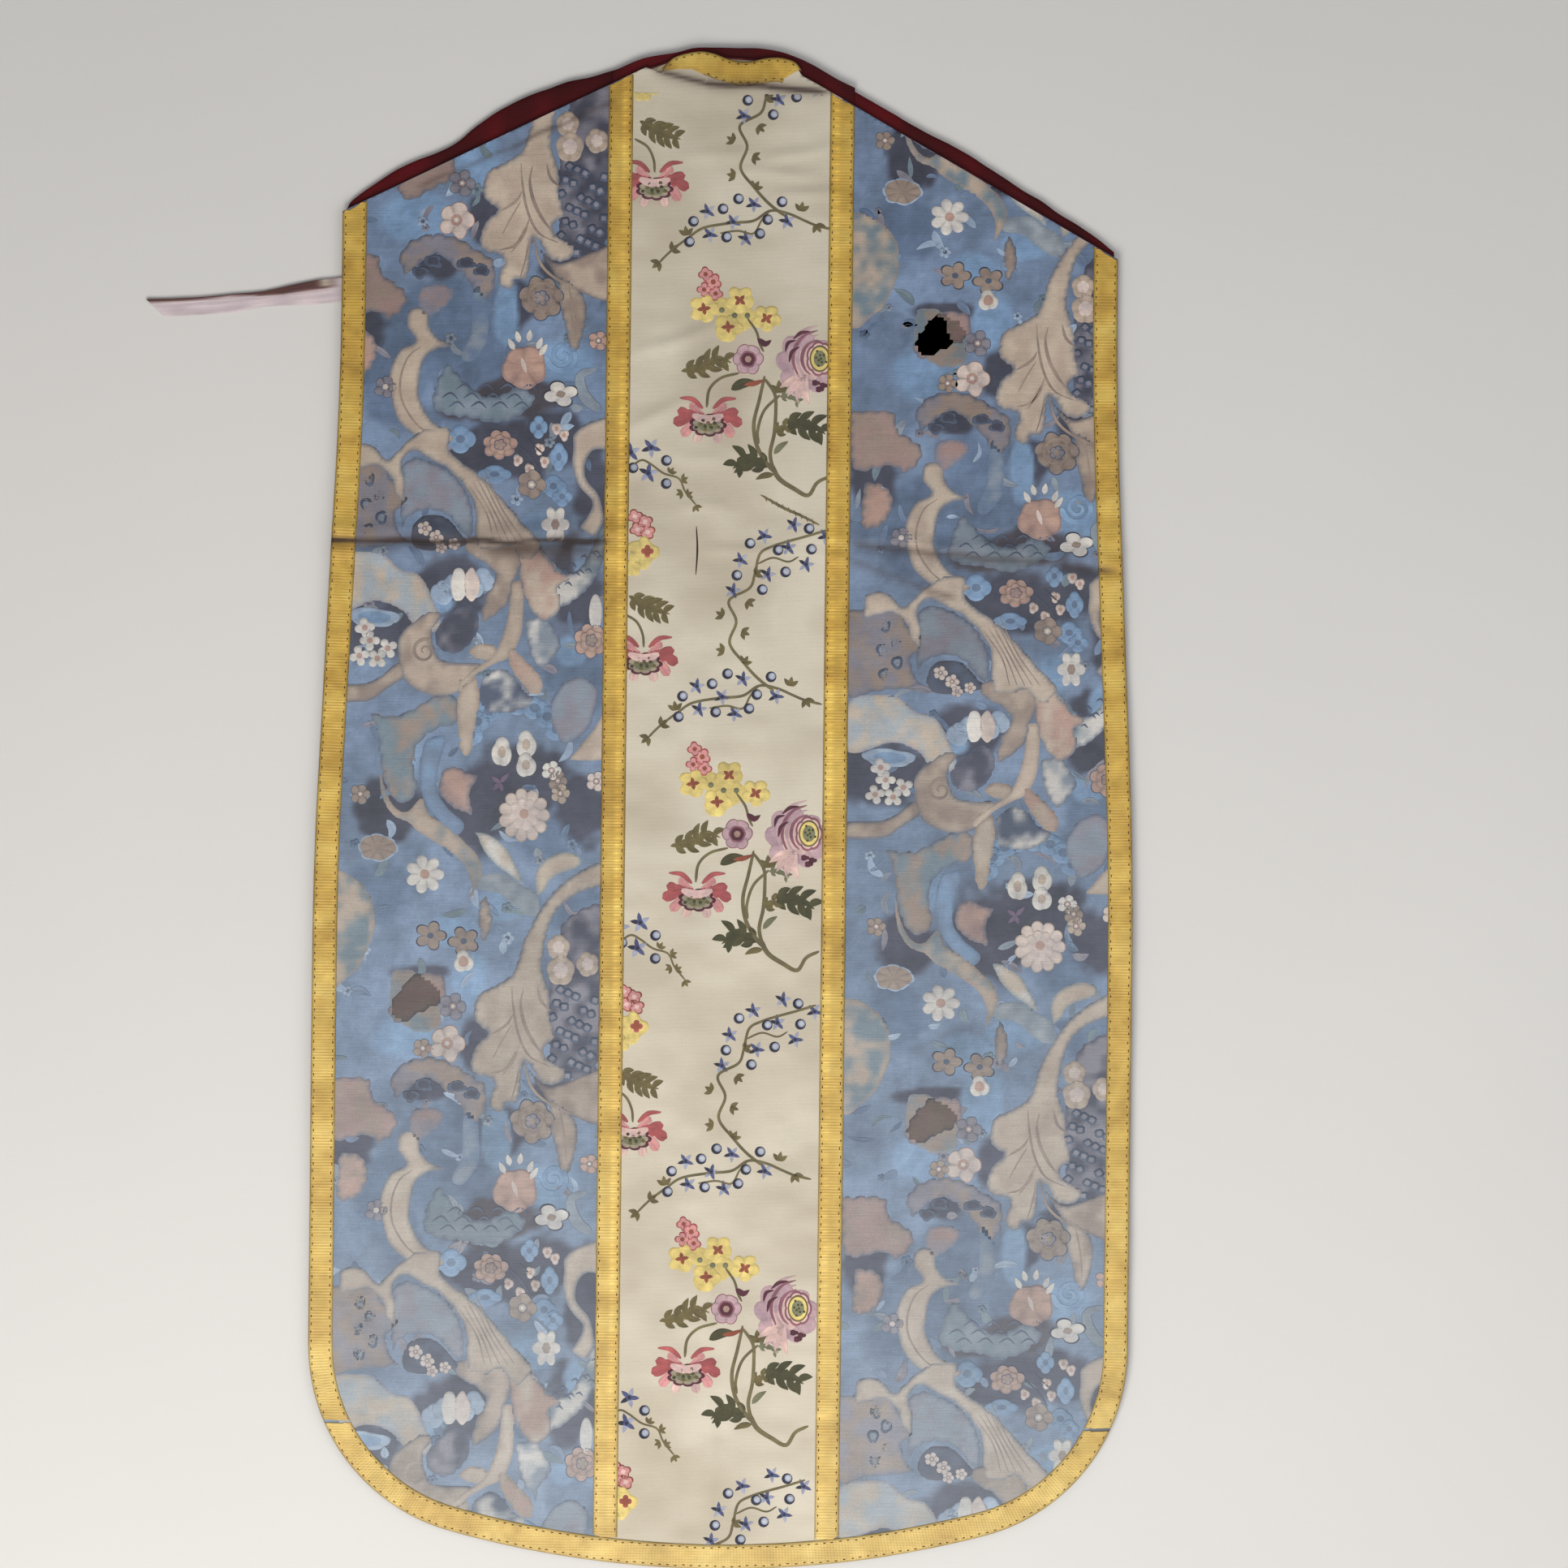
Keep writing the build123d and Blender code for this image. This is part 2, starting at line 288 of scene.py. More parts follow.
@dataclass
class MeshParts:
    """Points, faces and colours that are gathered for one object."""

    points: list[np.ndarray] = field(default_factory=list)
    colours: list[np.ndarray] = field(default_factory=list)
    faces: list[np.ndarray] = field(default_factory=list)
    count: int = 0

    def add(self, points: np.ndarray, faces: np.ndarray, colours: np.ndarray) -> None:
        """Take in points in millimetres, their faces and their sRGB colours."""
        self.points.append(points)
        self.colours.append(np.broadcast_to(colours, points.shape))
        self.faces.append(np.asarray(faces) + self.count)
        self.count += len(points)

    def loft(self, rings: np.ndarray, colours: np.ndarray) -> None:
        """Take in a closed skin through rings of points, with both ends capped.

        Args:
            rings: an (r, k, 3) array; k is even, and each ring closes on itself.
            colours: sRGB colours that fit the rings.
        """
        count, around = rings.shape[:2]
        faces = [grid_faces(count, around, wrap=True)]
        half = around // 2
        for first, turned in ((0, True), ((count - 1) * around, False)):
            for k in range(half - 1):
                cap = [k, k + 1, around - 2 - k, around - 1 - k]
                faces.append(np.array([cap[::-1] if turned else cap]) + first)
        colours = np.broadcast_to(colours, rings.shape).reshape(-1, 3)
        self.add(rings.reshape(-1, 3), np.concatenate(faces)[:, ::-1], colours)

    def slab(self, places: np.ndarray, quads: np.ndarray, top: np.ndarray, bottom: np.ndarray,
             colours: np.ndarray) -> None:
        """Take in a closed sheet between two heights at each place."""
        upper = np.column_stack([places, top])
        lower = np.column_stack([places, bottom])
        rim = rim_edges(quads)
        count = len(places)
        sides = np.column_stack([rim[:, 1], rim[:, 0], rim[:, 0] + count, rim[:, 1] + count])
        faces = np.concatenate([quads, quads[:, ::-1] + count, sides])
        self.add(np.vstack([upper, lower]), faces, np.vstack([colours, colours]))

    def build(self, name: str, finish: "Finish") -> bpy.types.Object:
        """Make the object, with its colours, its flat places and its finish."""
        points, colours = np.concatenate(self.points), np.concatenate(self.colours)
        corners = np.concatenate([f.ravel() for f in self.faces])
        sizes = np.concatenate([np.full(len(f), f.shape[1]) for f in self.faces])
        used, corners = np.unique(corners, return_inverse=True)
        points, colours = points[used], colours[used]
        mesh = bpy.data.meshes.new(name)
        mesh.vertices.add(len(points))
        mesh.vertices.foreach_set("co", (points * MM).astype(np.float32).ravel())
        mesh.loops.add(len(corners))
        mesh.loops.foreach_set("vertex_index", corners.astype(np.int32).ravel())
        mesh.polygons.add(len(sizes))
        starts = np.concatenate([[0], np.cumsum(sizes)[:-1]])
        mesh.polygons.foreach_set("loop_start", starts.astype(np.int32))
        mesh.polygons.foreach_set("use_smooth", np.ones(len(sizes), bool))
        mesh.update(calc_edges=True)
        dye = mesh.attributes.new("dye", "FLOAT_COLOR", "POINT")
        dye.data.foreach_set("color", np.column_stack([linear(colours),
            np.ones(len(points))]) .astype(np.float32).ravel())
        flat = mesh.attributes.new("flat", "FLOAT_VECTOR", "POINT")
        flat.data.foreach_set("vector", points.astype(np.float32).ravel())
        mesh.validate()
        mesh.materials.append(finish.material())
        piece = bpy.data.objects.new(name, mesh)
        bpy.context.scene.collection.objects.link(piece)
        LOG.info("%s: %d points, %d faces", name, len(points), len(sizes))
        return piece


class Shader:
    """Adds nodes to one new material."""

    def __init__(self, name: str) -> None:
        """Start a material with its principled shader."""
        self.material = bpy.data.materials.new(name)
        self.material.use_nodes = True
        self.tree = self.material.node_tree
        self.surface = self.tree.nodes["Principled BSDF"]
        self.flat = self.add("ShaderNodeAttribute", attribute_name="flat").outputs["Vector"]
        self.dye = self.add("ShaderNodeAttribute", attribute_name="dye").outputs["Color"]

    def add(self, kind: str, **settings: object) -> bpy.types.Node:
        """Add a node and set its properties."""
        node = self.tree.nodes.new(kind)
        for name, value in settings.items():
            setattr(node, name, value)
        return node

    def join(self, socket: bpy.types.NodeSocket, value: object) -> None:
        """Link a socket to another, or set it to a number."""
        if isinstance(value, bpy.types.NodeSocket):
            self.tree.links.new(value, socket)
        else:
            socket.default_value = value

    def math(self, operation: str, first: object, second: object = 0.0) -> bpy.types.NodeSocket:
        """The result of a math node."""
        node = self.add("ShaderNodeMath", operation=operation)
        self.join(node.inputs[0], first)
        self.join(node.inputs[1], second)
        return node.outputs[0]

    def stretched(self, scale: tuple[float, float, float]) -> bpy.types.NodeSocket:
        """Flat places multiplied by a scale on each axis."""
        node = self.add("ShaderNodeVectorMath", operation="MULTIPLY")
        self.join(node.inputs[0], self.flat)
        node.inputs[1].default_value = scale
        return node.outputs[0]

    def grain(self, scale: tuple[float, float, float], detail: float = 2.0) -> bpy.types.NodeSocket:
        """Noise from 0 to 1 over the flat places."""
        node = self.add("ShaderNodeTexNoise")
        self.join(node.inputs["Vector"], self.stretched(scale))
        node.inputs["Scale"].default_value = 1.0
        node.inputs["Detail"].default_value = detail
        return node.outputs["Fac"]

    def ripple(self, axis: int, pitch: float) -> bpy.types.NodeSocket:
        """A sine wave of that pitch along X (0) or Y (1), from -1 to 1."""
        split = self.add("ShaderNodeSeparateXYZ")
        self.join(split.inputs[0], self.flat)
        return self.math("SINE", self.math("MULTIPLY", split.outputs[axis], 2 * math.pi / pitch))


@dataclass(frozen=True)
class Finish:
    """One woven finish: its thread pitches in millimetres and how it takes light."""

    name: str
    warp_pitch: float
    weft_pitch: float
    roughness: float
    sheen: float
    specular: float = 0.4
    metallic: float = 0.0
    relief: float = 0.25
    thread_contrast: float = 0.10
    slub_contrast: float = 0.16
    blotch_contrast: float = 0.14
    blotch_size: float = 22.0
    sheen_roughness: float = 0.45
    bump_distance: float = 0.00025

    def material(self) -> bpy.types.Material:
        """The material of this finish, made once."""
        made = bpy.data.materials.get(self.name)
        if made:
            return made
        shader = Shader(self.name)
        warp = shader.ripple(0, self.warp_pitch)
        weft = shader.ripple(1, self.weft_pitch)
        weave = shader.math("MULTIPLY", warp, weft)
        threads = shader.math("ADD", shader.math("MULTIPLY", weave, 0.5), shader.math("MULTIPLY", weft, 0.5))
        slub = shader.math("SUBTRACT", shader.grain((0.05, 1.1, 1.1), 3.0), 0.5)
        fleck = shader.math("SUBTRACT", shader.grain((0.7, 0.7, 0.7), 2.0), 0.5)
        size = 1.0 / self.blotch_size
        blotch = shader.math("SUBTRACT", shader.grain((size, size, size), 4.0), 0.5)
        value = shader.math("ADD", 1.0, shader.math("MULTIPLY", threads, self.thread_contrast * 0.5))
        value = shader.math("ADD", value, shader.math("MULTIPLY", slub, self.slub_contrast))
        value = shader.math("ADD", value, shader.math("MULTIPLY", fleck, self.slub_contrast))
        value = shader.math("ADD", value, shader.math("MULTIPLY", blotch, self.blotch_contrast * 2.0))
        colour = shader.add("ShaderNodeVectorMath", operation="SCALE")
        shader.join(colour.inputs[0], shader.dye)
        shader.join(colour.inputs["Scale"], value)
        shader.join(shader.surface.inputs["Base Color"], colour.outputs[0])
        gloss = shader.math("ADD", self.roughness, shader.math("MULTIPLY", fleck, 0.3))
        shader.join(shader.surface.inputs["Roughness"], gloss)
        height = shader.math("ADD", threads, shader.math("MULTIPLY", slub, 2.0))
        bump = shader.add("ShaderNodeBump")
        bump.inputs["Strength"].default_value = self.relief
        bump.inputs["Distance"].default_value = self.bump_distance
        shader.join(bump.inputs["Height"], height)
        shader.join(shader.surface.inputs["Normal"], bump.outputs["Normal"])
        shader.surface.inputs["Metallic"].default_value = self.metallic
        shader.surface.inputs["Specular IOR Level"].default_value = self.specular
        shader.surface.inputs["Sheen Weight"].default_value = self.sheen
        shader.surface.inputs["Sheen Roughness"].default_value = self.sheen_roughness
        return shader.material


BROCADE = Finish("blue_brocade_weave", 0.7, 0.9, 0.62, 0.12, slub_contrast=0.34, blotch_contrast=0.24)
FLORAL_SILK = Finish("cream_rep_silk", 0.6, 0.8, 0.5, 0.15, slub_contrast=0.10, blotch_contrast=0.10,
    blotch_size=45.0)
FLOSS = Finish("silk_floss", 0.5, 0.6, 0.5, 0.2, relief=0.5, slub_contrast=0.3, blotch_contrast=0.2,
    blotch_size=6.0)
GALLOON_GOLD = Finish("gold_galloon_rib", 1.1, 2.1, 0.46, 0.1, metallic=0.12, relief=0.35, slub_contrast=0.2,
    blotch_contrast=0.3, blotch_size=14.0)
LINEN = Finish("unbleached_linen", 1.0, 1.1, 0.92, 0.2, relief=0.6, thread_contrast=0.3)
LINING = Finish("crimson_silk_lining", 0.5, 0.6, 0.5, 0.12, relief=0.2, slub_contrast=0.12)
BINDING = Finish("crimson_satin_binding", 0.4, 1.6, 0.62, 0.0, specular=0.18, relief=0.3)
RIBBON = Finish("pale_satin_ribbon", 0.4, 0.9, 0.45, 0.15, relief=0.3, slub_contrast=0.14)
THREAD = Finish("sewing_thread", 0.35, 0.5, 0.7, 0.1, relief=0.4)
FLOOR = Finish("pale_plaster_floor", 40.0, 45.0, 0.85, 0.0, relief=0.05, thread_contrast=0.0,
    slub_contrast=0.02, blotch_contrast=0.03, blotch_size=400.0)


@dataclass(frozen=True)
class Ridge:
    """A long soft fold that stands above the cloth, or a valley where its height is negative."""

    start: Point
    end: Point
    spread: float
    height: float
    wander: float = 3.0

    def lift(self, x: np.ndarray, y: np.ndarray) -> np.ndarray:
        """Its height at each place."""
        start, end = np.array(self.start), np.array(self.end)
        length = float(np.linalg.norm(end - start))
        ahead = (end - start) / length
        along = (x - start[0]) * ahead[0] + (y - start[1]) * ahead[1]
        aside = (y - start[1]) * ahead[0] - (x - start[0]) * ahead[1]
        aside = aside + self.wander * noise(along, along * 0, 38.0, int(abs(self.start[0]) * 7))
        share = np.clip(along / length, -0.2, 1.2)
        fade = np.clip(np.sin(np.pi * (share + 0.2) / 1.4), 0.0, 1.0) ** 0.6
        return self.height * fade * np.exp(-((aside / self.spread) ** 2))


@dataclass
class Relief:
    """How far the cloth of one panel stands above lying dead flat."""

    swell: float
    lowest: float
    highest: float
    ridges: tuple[Ridge, ...] = ()
    seam_x: float = 86.5
    reach_x: float = 330.0
    reach_y: float = 600.0
    pitch: float = 2.5
    seed: int = 5

    def __post_init__(self) -> None:
        """Work the heights out once, on a grid."""
        self.reach_x = math.ceil(self.reach_x / self.pitch) * self.pitch
        self.reach_y = math.ceil(self.reach_y / self.pitch) * self.pitch
        self.columns = round(2 * self.reach_x / self.pitch) + 1
        self.rows = round(2 * self.reach_y / self.pitch) + 1
        x, y = np.meshgrid(np.linspace(-self.reach_x, self.reach_x, self.columns),
            np.linspace(-self.reach_y, self.reach_y, self.rows))
        broad = noise(x, y, 120.0, self.seed) + 0.6 * noise(x, y * 1.3, 62.0, self.seed + 1)
        fine = 0.32 * noise(x * 0.7, y, 27.0, self.seed + 2) + 0.10 * noise(x, y, 9.0, self.seed + 3)
        heights = self.swell * (0.7 + 0.75 * broad + fine)
        for side in (-1, 1):
            close = np.exp(-(((x - side * self.seam_x) / 15.0) ** 2))
            heights += self.swell * 0.28 * close * noise(x * 0.2, y, 13.0, self.seed + 5 + side)
        for ridge in self.ridges:
            heights += ridge.lift(x, y)
        self.heights = np.clip(heights, self.lowest, self.highest)

    def at(self, x: np.ndarray, y: np.ndarray) -> np.ndarray:
        """Heights at any places, in millimetres."""
        column = np.clip((x + self.reach_x) / self.pitch, 0, self.columns - 1.001)
        row = np.clip((y + self.reach_y) / self.pitch, 0, self.rows - 1.001)
        left, low = column.astype(int), row.astype(int)
        part_x, part_y = column - left, row - low
        south = self.heights[low, left] * (1 - part_x) + self.heights[low, left + 1] * part_x
        north = self.heights[low + 1, left] * (1 - part_x) + self.heights[low + 1, left + 1] * part_x
        return south * (1 - part_y) + north * part_y


@dataclass(frozen=True)
class Yoke:
    """The neck and shoulder lines that both panels share; a drop is measured from the top."""

    top: float = 592.0
    neck_half: float = 67.0
    tip_half: float = 303.0
    neck_drops: Point = (11.5, 23.5)
    tip_drops: Point = (127.0, 158.0)

    def shoulder(self, x: np.ndarray | float) -> np.ndarray:
        """Height of the shoulder line at each place across."""
        x = np.asarray(x, float)
        neck = np.where(x < 0, self.neck_drops[0], self.neck_drops[1])
        tip = np.where(x < 0, self.tip_drops[0], self.tip_drops[1])
        share = (np.abs(x) - self.neck_half) / (self.tip_half - self.neck_half)
        return self.top - neck - (tip - neck) * share


@dataclass(frozen=True)
class PanelCut:
    """The outline of one panel: half width, hem, corner and hem radii, and the bends of its side."""

    yoke: Yoke
    half_width: float
    length: float
    corner_radius: float
    hem_radius: float
    bends: tuple[Point, ...]
    bend_radii: tuple[float, ...]
    tip_half: float
    neck_edge: tuple[Point, ...]
    neck_radius: float = 0.0
    neck_floor: float = 0.0

    def side(self, sign: int) -> np.ndarray:
        """The edge from above one shoulder tip down to the middle of the hem."""
        hem_y = self.yoke.top - self.length
        centre_y = hem_y + self.hem_radius
        corner_x = self.half_width - self.corner_radius
        corner_y = centre_y - math.sqrt((self.hem_radius - self.corner_radius) ** 2 - corner_x**2)
        swing = math.degrees(math.atan2(corner_y - centre_y, corner_x))
        sides = rounded([(self.tip_half, self.yoke.top), *self.bends, (self.half_width, corner_y)],
            self.bend_radii)
        corner = arc((corner_x, corner_y), self.corner_radius, 0.0, swing)
        hem = arc((0.0, centre_y), self.hem_radius, swing, -90.0)
        edge = np.vstack([sides, corner[1:], hem[1:]])
        return edge * np.array([sign, 1.0])

    def skirt(self) -> np.ndarray:
        """The whole outer edge, from above the left shoulder round the hem to above the right one."""
        return evenly(np.vstack([self.side(-1), self.side(1)[::-1][1:]]), 4.0)

    def trimmed(self, setback: float) -> np.ndarray:
        """The outer edge moved in by `setback` and cut off at the shoulder line."""
        skirt = self.skirt()
        skirt = skirt + normals(skirt) * setback
        over = skirt[:, 1] - self.yoke.shoulder(skirt[:, 0]) + setback
        first = int(np.argmax(over <= 0))
        last = len(over) - 1 - int(np.argmax(over[::-1] <= 0))
        ends = [skirt[k] + (skirt[k + step] - skirt[k]) * over[k] / (over[k] - over[k + step])
                for k, step in ((first, -1), (last, 1))]
        return np.vstack([ends[0], skirt[first:last + 1], ends[1]])

    def outline(self, setback: float = 0.0) -> np.ndarray:
        """The closed outline, moved in by `setback` round the skirt."""
        neck = np.array(self.neck_edge[::-1]) - np.array([0.0, setback])
        if self.neck_radius:
            grown = self.neck_radius + setback
            bowl = arc((0.0, self.neck_floor + self.neck_radius), grown, 0.0, -180.0)
            neck = np.vstack([[[grown, neck[0][1]]], bowl, [[-grown, neck[-1][1]]]])
        return np.vstack([self.trimmed(setback), neck])

    def covers(self, x: np.ndarray, y: np.ndarray, setback: float) -> np.ndarray:
        """Which places lie inside the skirt when it is moved in by `setback`."""
        edge = self.trimmed(setback)
        low = int(np.argmin(edge[:, 1]))
        left, right = edge[:low + 1][::-1], edge[low:]
        found = x > np.interp(y, left[:, 1], left[:, 0], left=1e4)
        found &= x < np.interp(y, right[:, 1], right[:, 0], left=-1e4)
        if self.neck_radius:
            near = self.neck_radius + setback
            middle = self.neck_floor + self.neck_radius
            found &= (np.hypot(x, np.minimum(y - middle, 0.0)) > near) | ((y > middle) & (np.abs(x) > near))
        return found

    def inner_hem(self, x: np.ndarray, setback: float) -> np.ndarray:
        """Height of the hem edge, moved in by `setback`, at each place across."""
        skirt = self.skirt()
        moved = skirt + normals(skirt) * setback
        low = moved[moved[:, 1] < self.yoke.top - self.length * 0.8]
        return np.interp(x, low[:, 0], low[:, 1])


@dataclass(frozen=True)
class Levels:
    """Heights of a panel's layers on their CAD places, from the underside up."""

    prefix: str
    faces_up: bool

    def span(self, layer: str) -> Point:
        """Lowest and highest place of a layer, in millimetres."""
        low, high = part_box(f"{self.prefix}_{layer}")
        return low.z / MM, high.z / MM

    def show(self, layer: str) -> float:
        """The height of the side that shows."""
        return self.span(layer)[1 if self.faces_up else 0]


@dataclass
class Weaver:
    """Draws woven figures as low raised thread on the face of a cloth."""

    relief: Relief
    face: float
    faces_up: bool
    keep: Callable[[np.ndarray, np.ndarray], np.ndarray]
    ceiling: Callable[[np.ndarray], np.ndarray]
    fade: Callable[[np.ndarray], np.ndarray]
    haze: Tone
    detail: float = 1.0
    parts: MeshParts = field(default_factory=MeshParts)
    origin: Point = (0.0, 0.0)
    stretch: Point = (1.0, -1.0)
    drift: float = 0.0
    seed: int = 11
    bed: float = 0.09
    step_up: float = 0.045
    thread: float = 0.07

    def __post_init__(self) -> None:
        """Start the seeded draws."""
        self.random = np.random.RandomState(SEED + self.seed)

    def weave(self, x: np.ndarray, y: np.ndarray, lift: np.ndarray, colours: np.ndarray,
              level: int, wrap: bool = False) -> None:
        """Take in a grid of places in the repeat's own millimetres.

        Args:
            x: places across, as rows of a grid.
            y: places down the repeat.
            lift: from 0 at a figure's rim to 1 on its body, or -1 where it is sunk.
            colours: sRGB colours of the grid.
            level: how many figures lie beneath.
            wrap: whether each row closes on itself.
        """
        quads = grid_faces(*x.shape, wrap)
        if self.stretch[0] * self.stretch[1] < 0:
            quads = quads[:, ::-1]
        places = self.placed(np.column_stack([x.ravel(), y.ravel()]))
        self.lay(places, quads, np.broadcast_to(lift, x.shape).ravel(),
                 np.broadcast_to(colours, (*x.shape, 3)).reshape(-1, 3), level)

    def placed(self, points: np.ndarray) -> np.ndarray:
        """Where places of the repeat lie on the panel."""
        across = self.origin[0] + points[:, 0] * self.stretch[0] + points[:, 1] * self.drift
        return np.column_stack([across, self.origin[1] + points[:, 1] * self.stretch[1]])

    def lay(self, places: np.ndarray, quads: np.ndarray, lift: np.ndarray, colours: np.ndarray,
            level: int) -> None:
        """Lay a figure's faces on the cloth where they show inside the braids.

        Args:
            places: (n, 2) places on the panel.
            quads: its faces, turning to the left.
            lift: from 0 at the rim to 1 on the body, or -1 where it is sunk.
            colours: (n, 3) sRGB colours.
            level: how many figures lie beneath.
        """
        top = self.ceiling(places[:, 0])
        beyond = places[:, 1] > top
        places = np.column_stack([places[:, 0], np.minimum(places[:, 1], top)])
        kept = self.keep(places[:, 0], places[:, 1]) & ~beyond
        quads = quads[kept[quads].any(axis=1)]
        if not len(quads):
            return
        rise = np.where(lift < 0, -0.1, lift * self.thread + self.bed + level * self.step_up)
        height = (self.face + self.relief.at(places[:, 0], places[:, 1])
                  + (rise if self.faces_up else -rise))
        shade = colours * self.random.uniform(0.95, 1.05)
        haze = self.fade(places[:, 1])[:, None]
        shade = shade * (1 - haze) + srgb(self.haze) * haze
        self.parts.add(np.column_stack([places, height]), quads if self.faces_up else quads[:, ::-1], shade)

    def mass(self, points: Points, tone: Tone, second: Tone = Tone.TAUPE, edge: Tone = Tone.SLATE,
             level: int = 1, teeth: float = 9.0, bite: float = 1.6) -> None:
        """Weave a broad figure from its given closed outline.

        Args:
            points: places round its edge.
            tone: the colour of most of it.
            second: the colour of its soft patches.
            edge: the colour along its edge.
            level: how many figures lie beneath.
            teeth: distance from one tooth of its edge to the next.
            bite: how deep the gaps between the teeth are.
        """
        ring = smooth_path([*points, points[0]], 1.5)[:-1]
        after = np.roll(ring, -1, axis=0)
        turning = float(np.sign((ring[:, 0] * after[:, 1] - after[:, 0] * ring[:, 1]).sum()))
        scallop = np.abs(np.sin(np.pi * np.arange(len(ring)) * 1.5 / teeth)) ** 0.7
        ring = ring + normals(ring) * (turning * bite * (1.0 - scallop))[:, None]
        flat = self.placed(ring)
        places, quads, rim = clipped_grid(flat, flat.min(axis=0), flat.max(axis=0), self.relief.pitch)
        gap = np.sqrt(((places[:, None] - flat[None]) ** 2).sum(axis=2)).min(axis=1)
        x, y = places[:, 0], places[:, 1]
        share = np.clip(0.5 + 0.9 * noise(x * 1.3, y, 13.0, 51) + 0.5 * noise(x, y, 5.5, 52), 0, 1)[:, None]
        colours = srgb(tone) * (1 - share) + srgb(second) * share
        dark = np.clip(1.0 - gap / 3.2, 0.0, 1.0)[:, None] * 0.85
        colours = colours * (1 - dark) + srgb(edge) * dark
        self.lay(places, quads, np.where(rim, -1.0, 1.0), colours, level)

    def band(self, points: Points, widths: Sequence[float], tone: Tone, edge: Tone = Tone.NAVY,
             level: int = 1, veins: int = 0, lobes: int = 0, shape: Outline = Outline.EVEN) -> None:
        """Weave a band, scroll, stem or leaf along a given line.

        Args:
            points: places along its middle line.
            widths: its widths, spread evenly from end to end.
            tone: the colour of its body.
            edge: the colour of its outline.
            level: how many figures lie beneath.
            veins: dark lines along it.
            lobes: rounded lobes along each side.
            shape: how its ends close.
        """
        reach = float(np.linalg.norm(np.diff(np.array(points, float), axis=0), axis=1).sum())
        path = smooth_path(points, min(2.0 / self.detail, reach / (4.0 * lobes + 3.0)))
        share = np.linspace(0.0, 1.0, len(path))
        half = np.interp(share, np.linspace(0.0, 1.0, len(widths)), widths) / 2
        if shape is Outline.LEAF:
            half = half * np.clip(np.sin(np.pi * share**0.8), 0.02, 1.0) ** 0.75
        elif shape is Outline.PLUME:
            half = half * np.clip((0.30 + 0.9 * share) * (1.0 - share**7) ** 0.5, 0.02, None)
        else:
            half = half * np.clip(np.minimum(share, 1 - share) * len(path) / 1.5, 0.25, 1.0) ** 0.5
        line_at = np.linspace(-0.62, 0.62, veins) if veins > 1 else np.zeros(veins)
        body = np.linspace(-0.76, 0.76, max(3, round(float(half.max()) * self.detail / 1.6)))
        lines = np.concatenate([[v - 0.05, v, v + 0.05] for v in line_at]) if veins else []
        spread = np.unique(np.round(np.concatenate([[-1, -0.95, -0.85, 0.85, 0.95, 1], body, lines]), 3))
        aside = normals(path)
        reach = half[:, None] * spread[None, :]
        if lobes:
            phase = np.where(spread < 0, 0.0, 0.5)[None, :]
            uneven = 0.3 * noise(share[:, None] * 20.0 * lobes, phase * 50.0, 13.0, 33)
            scallop = np.abs(np.sin(np.pi * (lobes * share[:, None] + phase + uneven))) ** 0.6
            reach = reach * (1.0 - 0.45 * (1.0 - scallop) * np.abs(spread)[None, :] ** 1.5)
        x = path[:, 0:1] + aside[:, 0:1] * reach
        y = path[:, 1:2] + aside[:, 1:2] * reach
        rim = np.abs(spread) > 0.9
        dark = rim
        if veins:
            dark = rim | (np.abs(spread[:, None] - np.round(line_at, 3)[None, :]).min(axis=1) < 0.01)
        mottle = 0.8 * noise(x, y, 8.0, 31) + 0.5 * noise(x, y, 3.2, 32)
        base = srgb(tone) * (1.0 + mottle[..., None] * np.array([0.11, 0.11, 0.08]))
        inked = srgb(edge) * 0.6 + srgb(tone) * 0.4
        colours = np.where(dark[None, :, None], inked, base)
        lift = np.where(np.abs(spread) > 0.97, -1.0, np.where(dark, 0.2, 1.0))
        self.weave(x, y, lift[None, :] + 0 * x, colours, level)

    def leaf(self, points: Points, width: float, tone: Tone, edge: Tone = Tone.NAVY, level: int = 1,
             veins: int = 1, lobes: int = 0) -> None:
        """Weave a leaf that comes to a point at both ends."""
        self.band(points, (width, width), tone, edge, level, veins, lobes, Outline.LEAF)

    def plume(self, points: Points, width: float, tone: Tone, edge: Tone = Tone.NAVY, level: int = 1,
              veins: int = 2, lobes: int = 0) -> None:
        """Weave an acanthus lobe: narrow at its root and broad at its round tip."""
        self.band(points, (width, width), tone, edge, level, veins, lobes, Outline.PLUME)

    def disc(self, centre: Point, radii: Point, rings: Sequence[tuple[float, Tone]], petals: int = 0,
             depth: float = 0.25, turn: float = 0.0, level: int = 2, wobble: float = 0.0,
             shade: float = 0.16) -> None:
        """Weave a round figure: a flower, berry, star or patch.

        Args:
            centre: its middle.
            radii: how far it reaches across and along.
            rings: how far out each colour reaches, as a share of the whole, and the colour.
            petals: petals round it.
            depth: how deep the gaps between petals are.
            turn: how far it is turned, in degrees.
            level: how many figures lie beneath.
            wobble: how irregular its edge is.
            shade: how dark the gaps between petals are.
        """
        size = max(radii) * self.detail
        around = max(12, petals * 6, min(48, round(size * 2.6)))
        angle = np.linspace(0.0, 2 * np.pi, around, endpoint=False)
        reach = np.ones(around)
        gap = np.zeros(around)
        if petals:
            bump = np.abs(np.cos(petals * (angle - math.radians(turn)) / 2)) ** 0.7
            reach = 1.0 - depth + depth * bump
            gap = (1.0 - bump) ** 2
        if wobble:
            reach = reach * (1.0 + wobble * noise(np.cos(angle) * 20 + centre[0],
                np.sin(angle) * 20 + centre[1], 11.0, 41))
        shares, tones, lifts = [0.0], [rings[0][1]], [1.0]
        inner = 0.0
        for outer, tone in rings:
            steps = max(1, math.ceil((outer - inner) * size / 3.0))
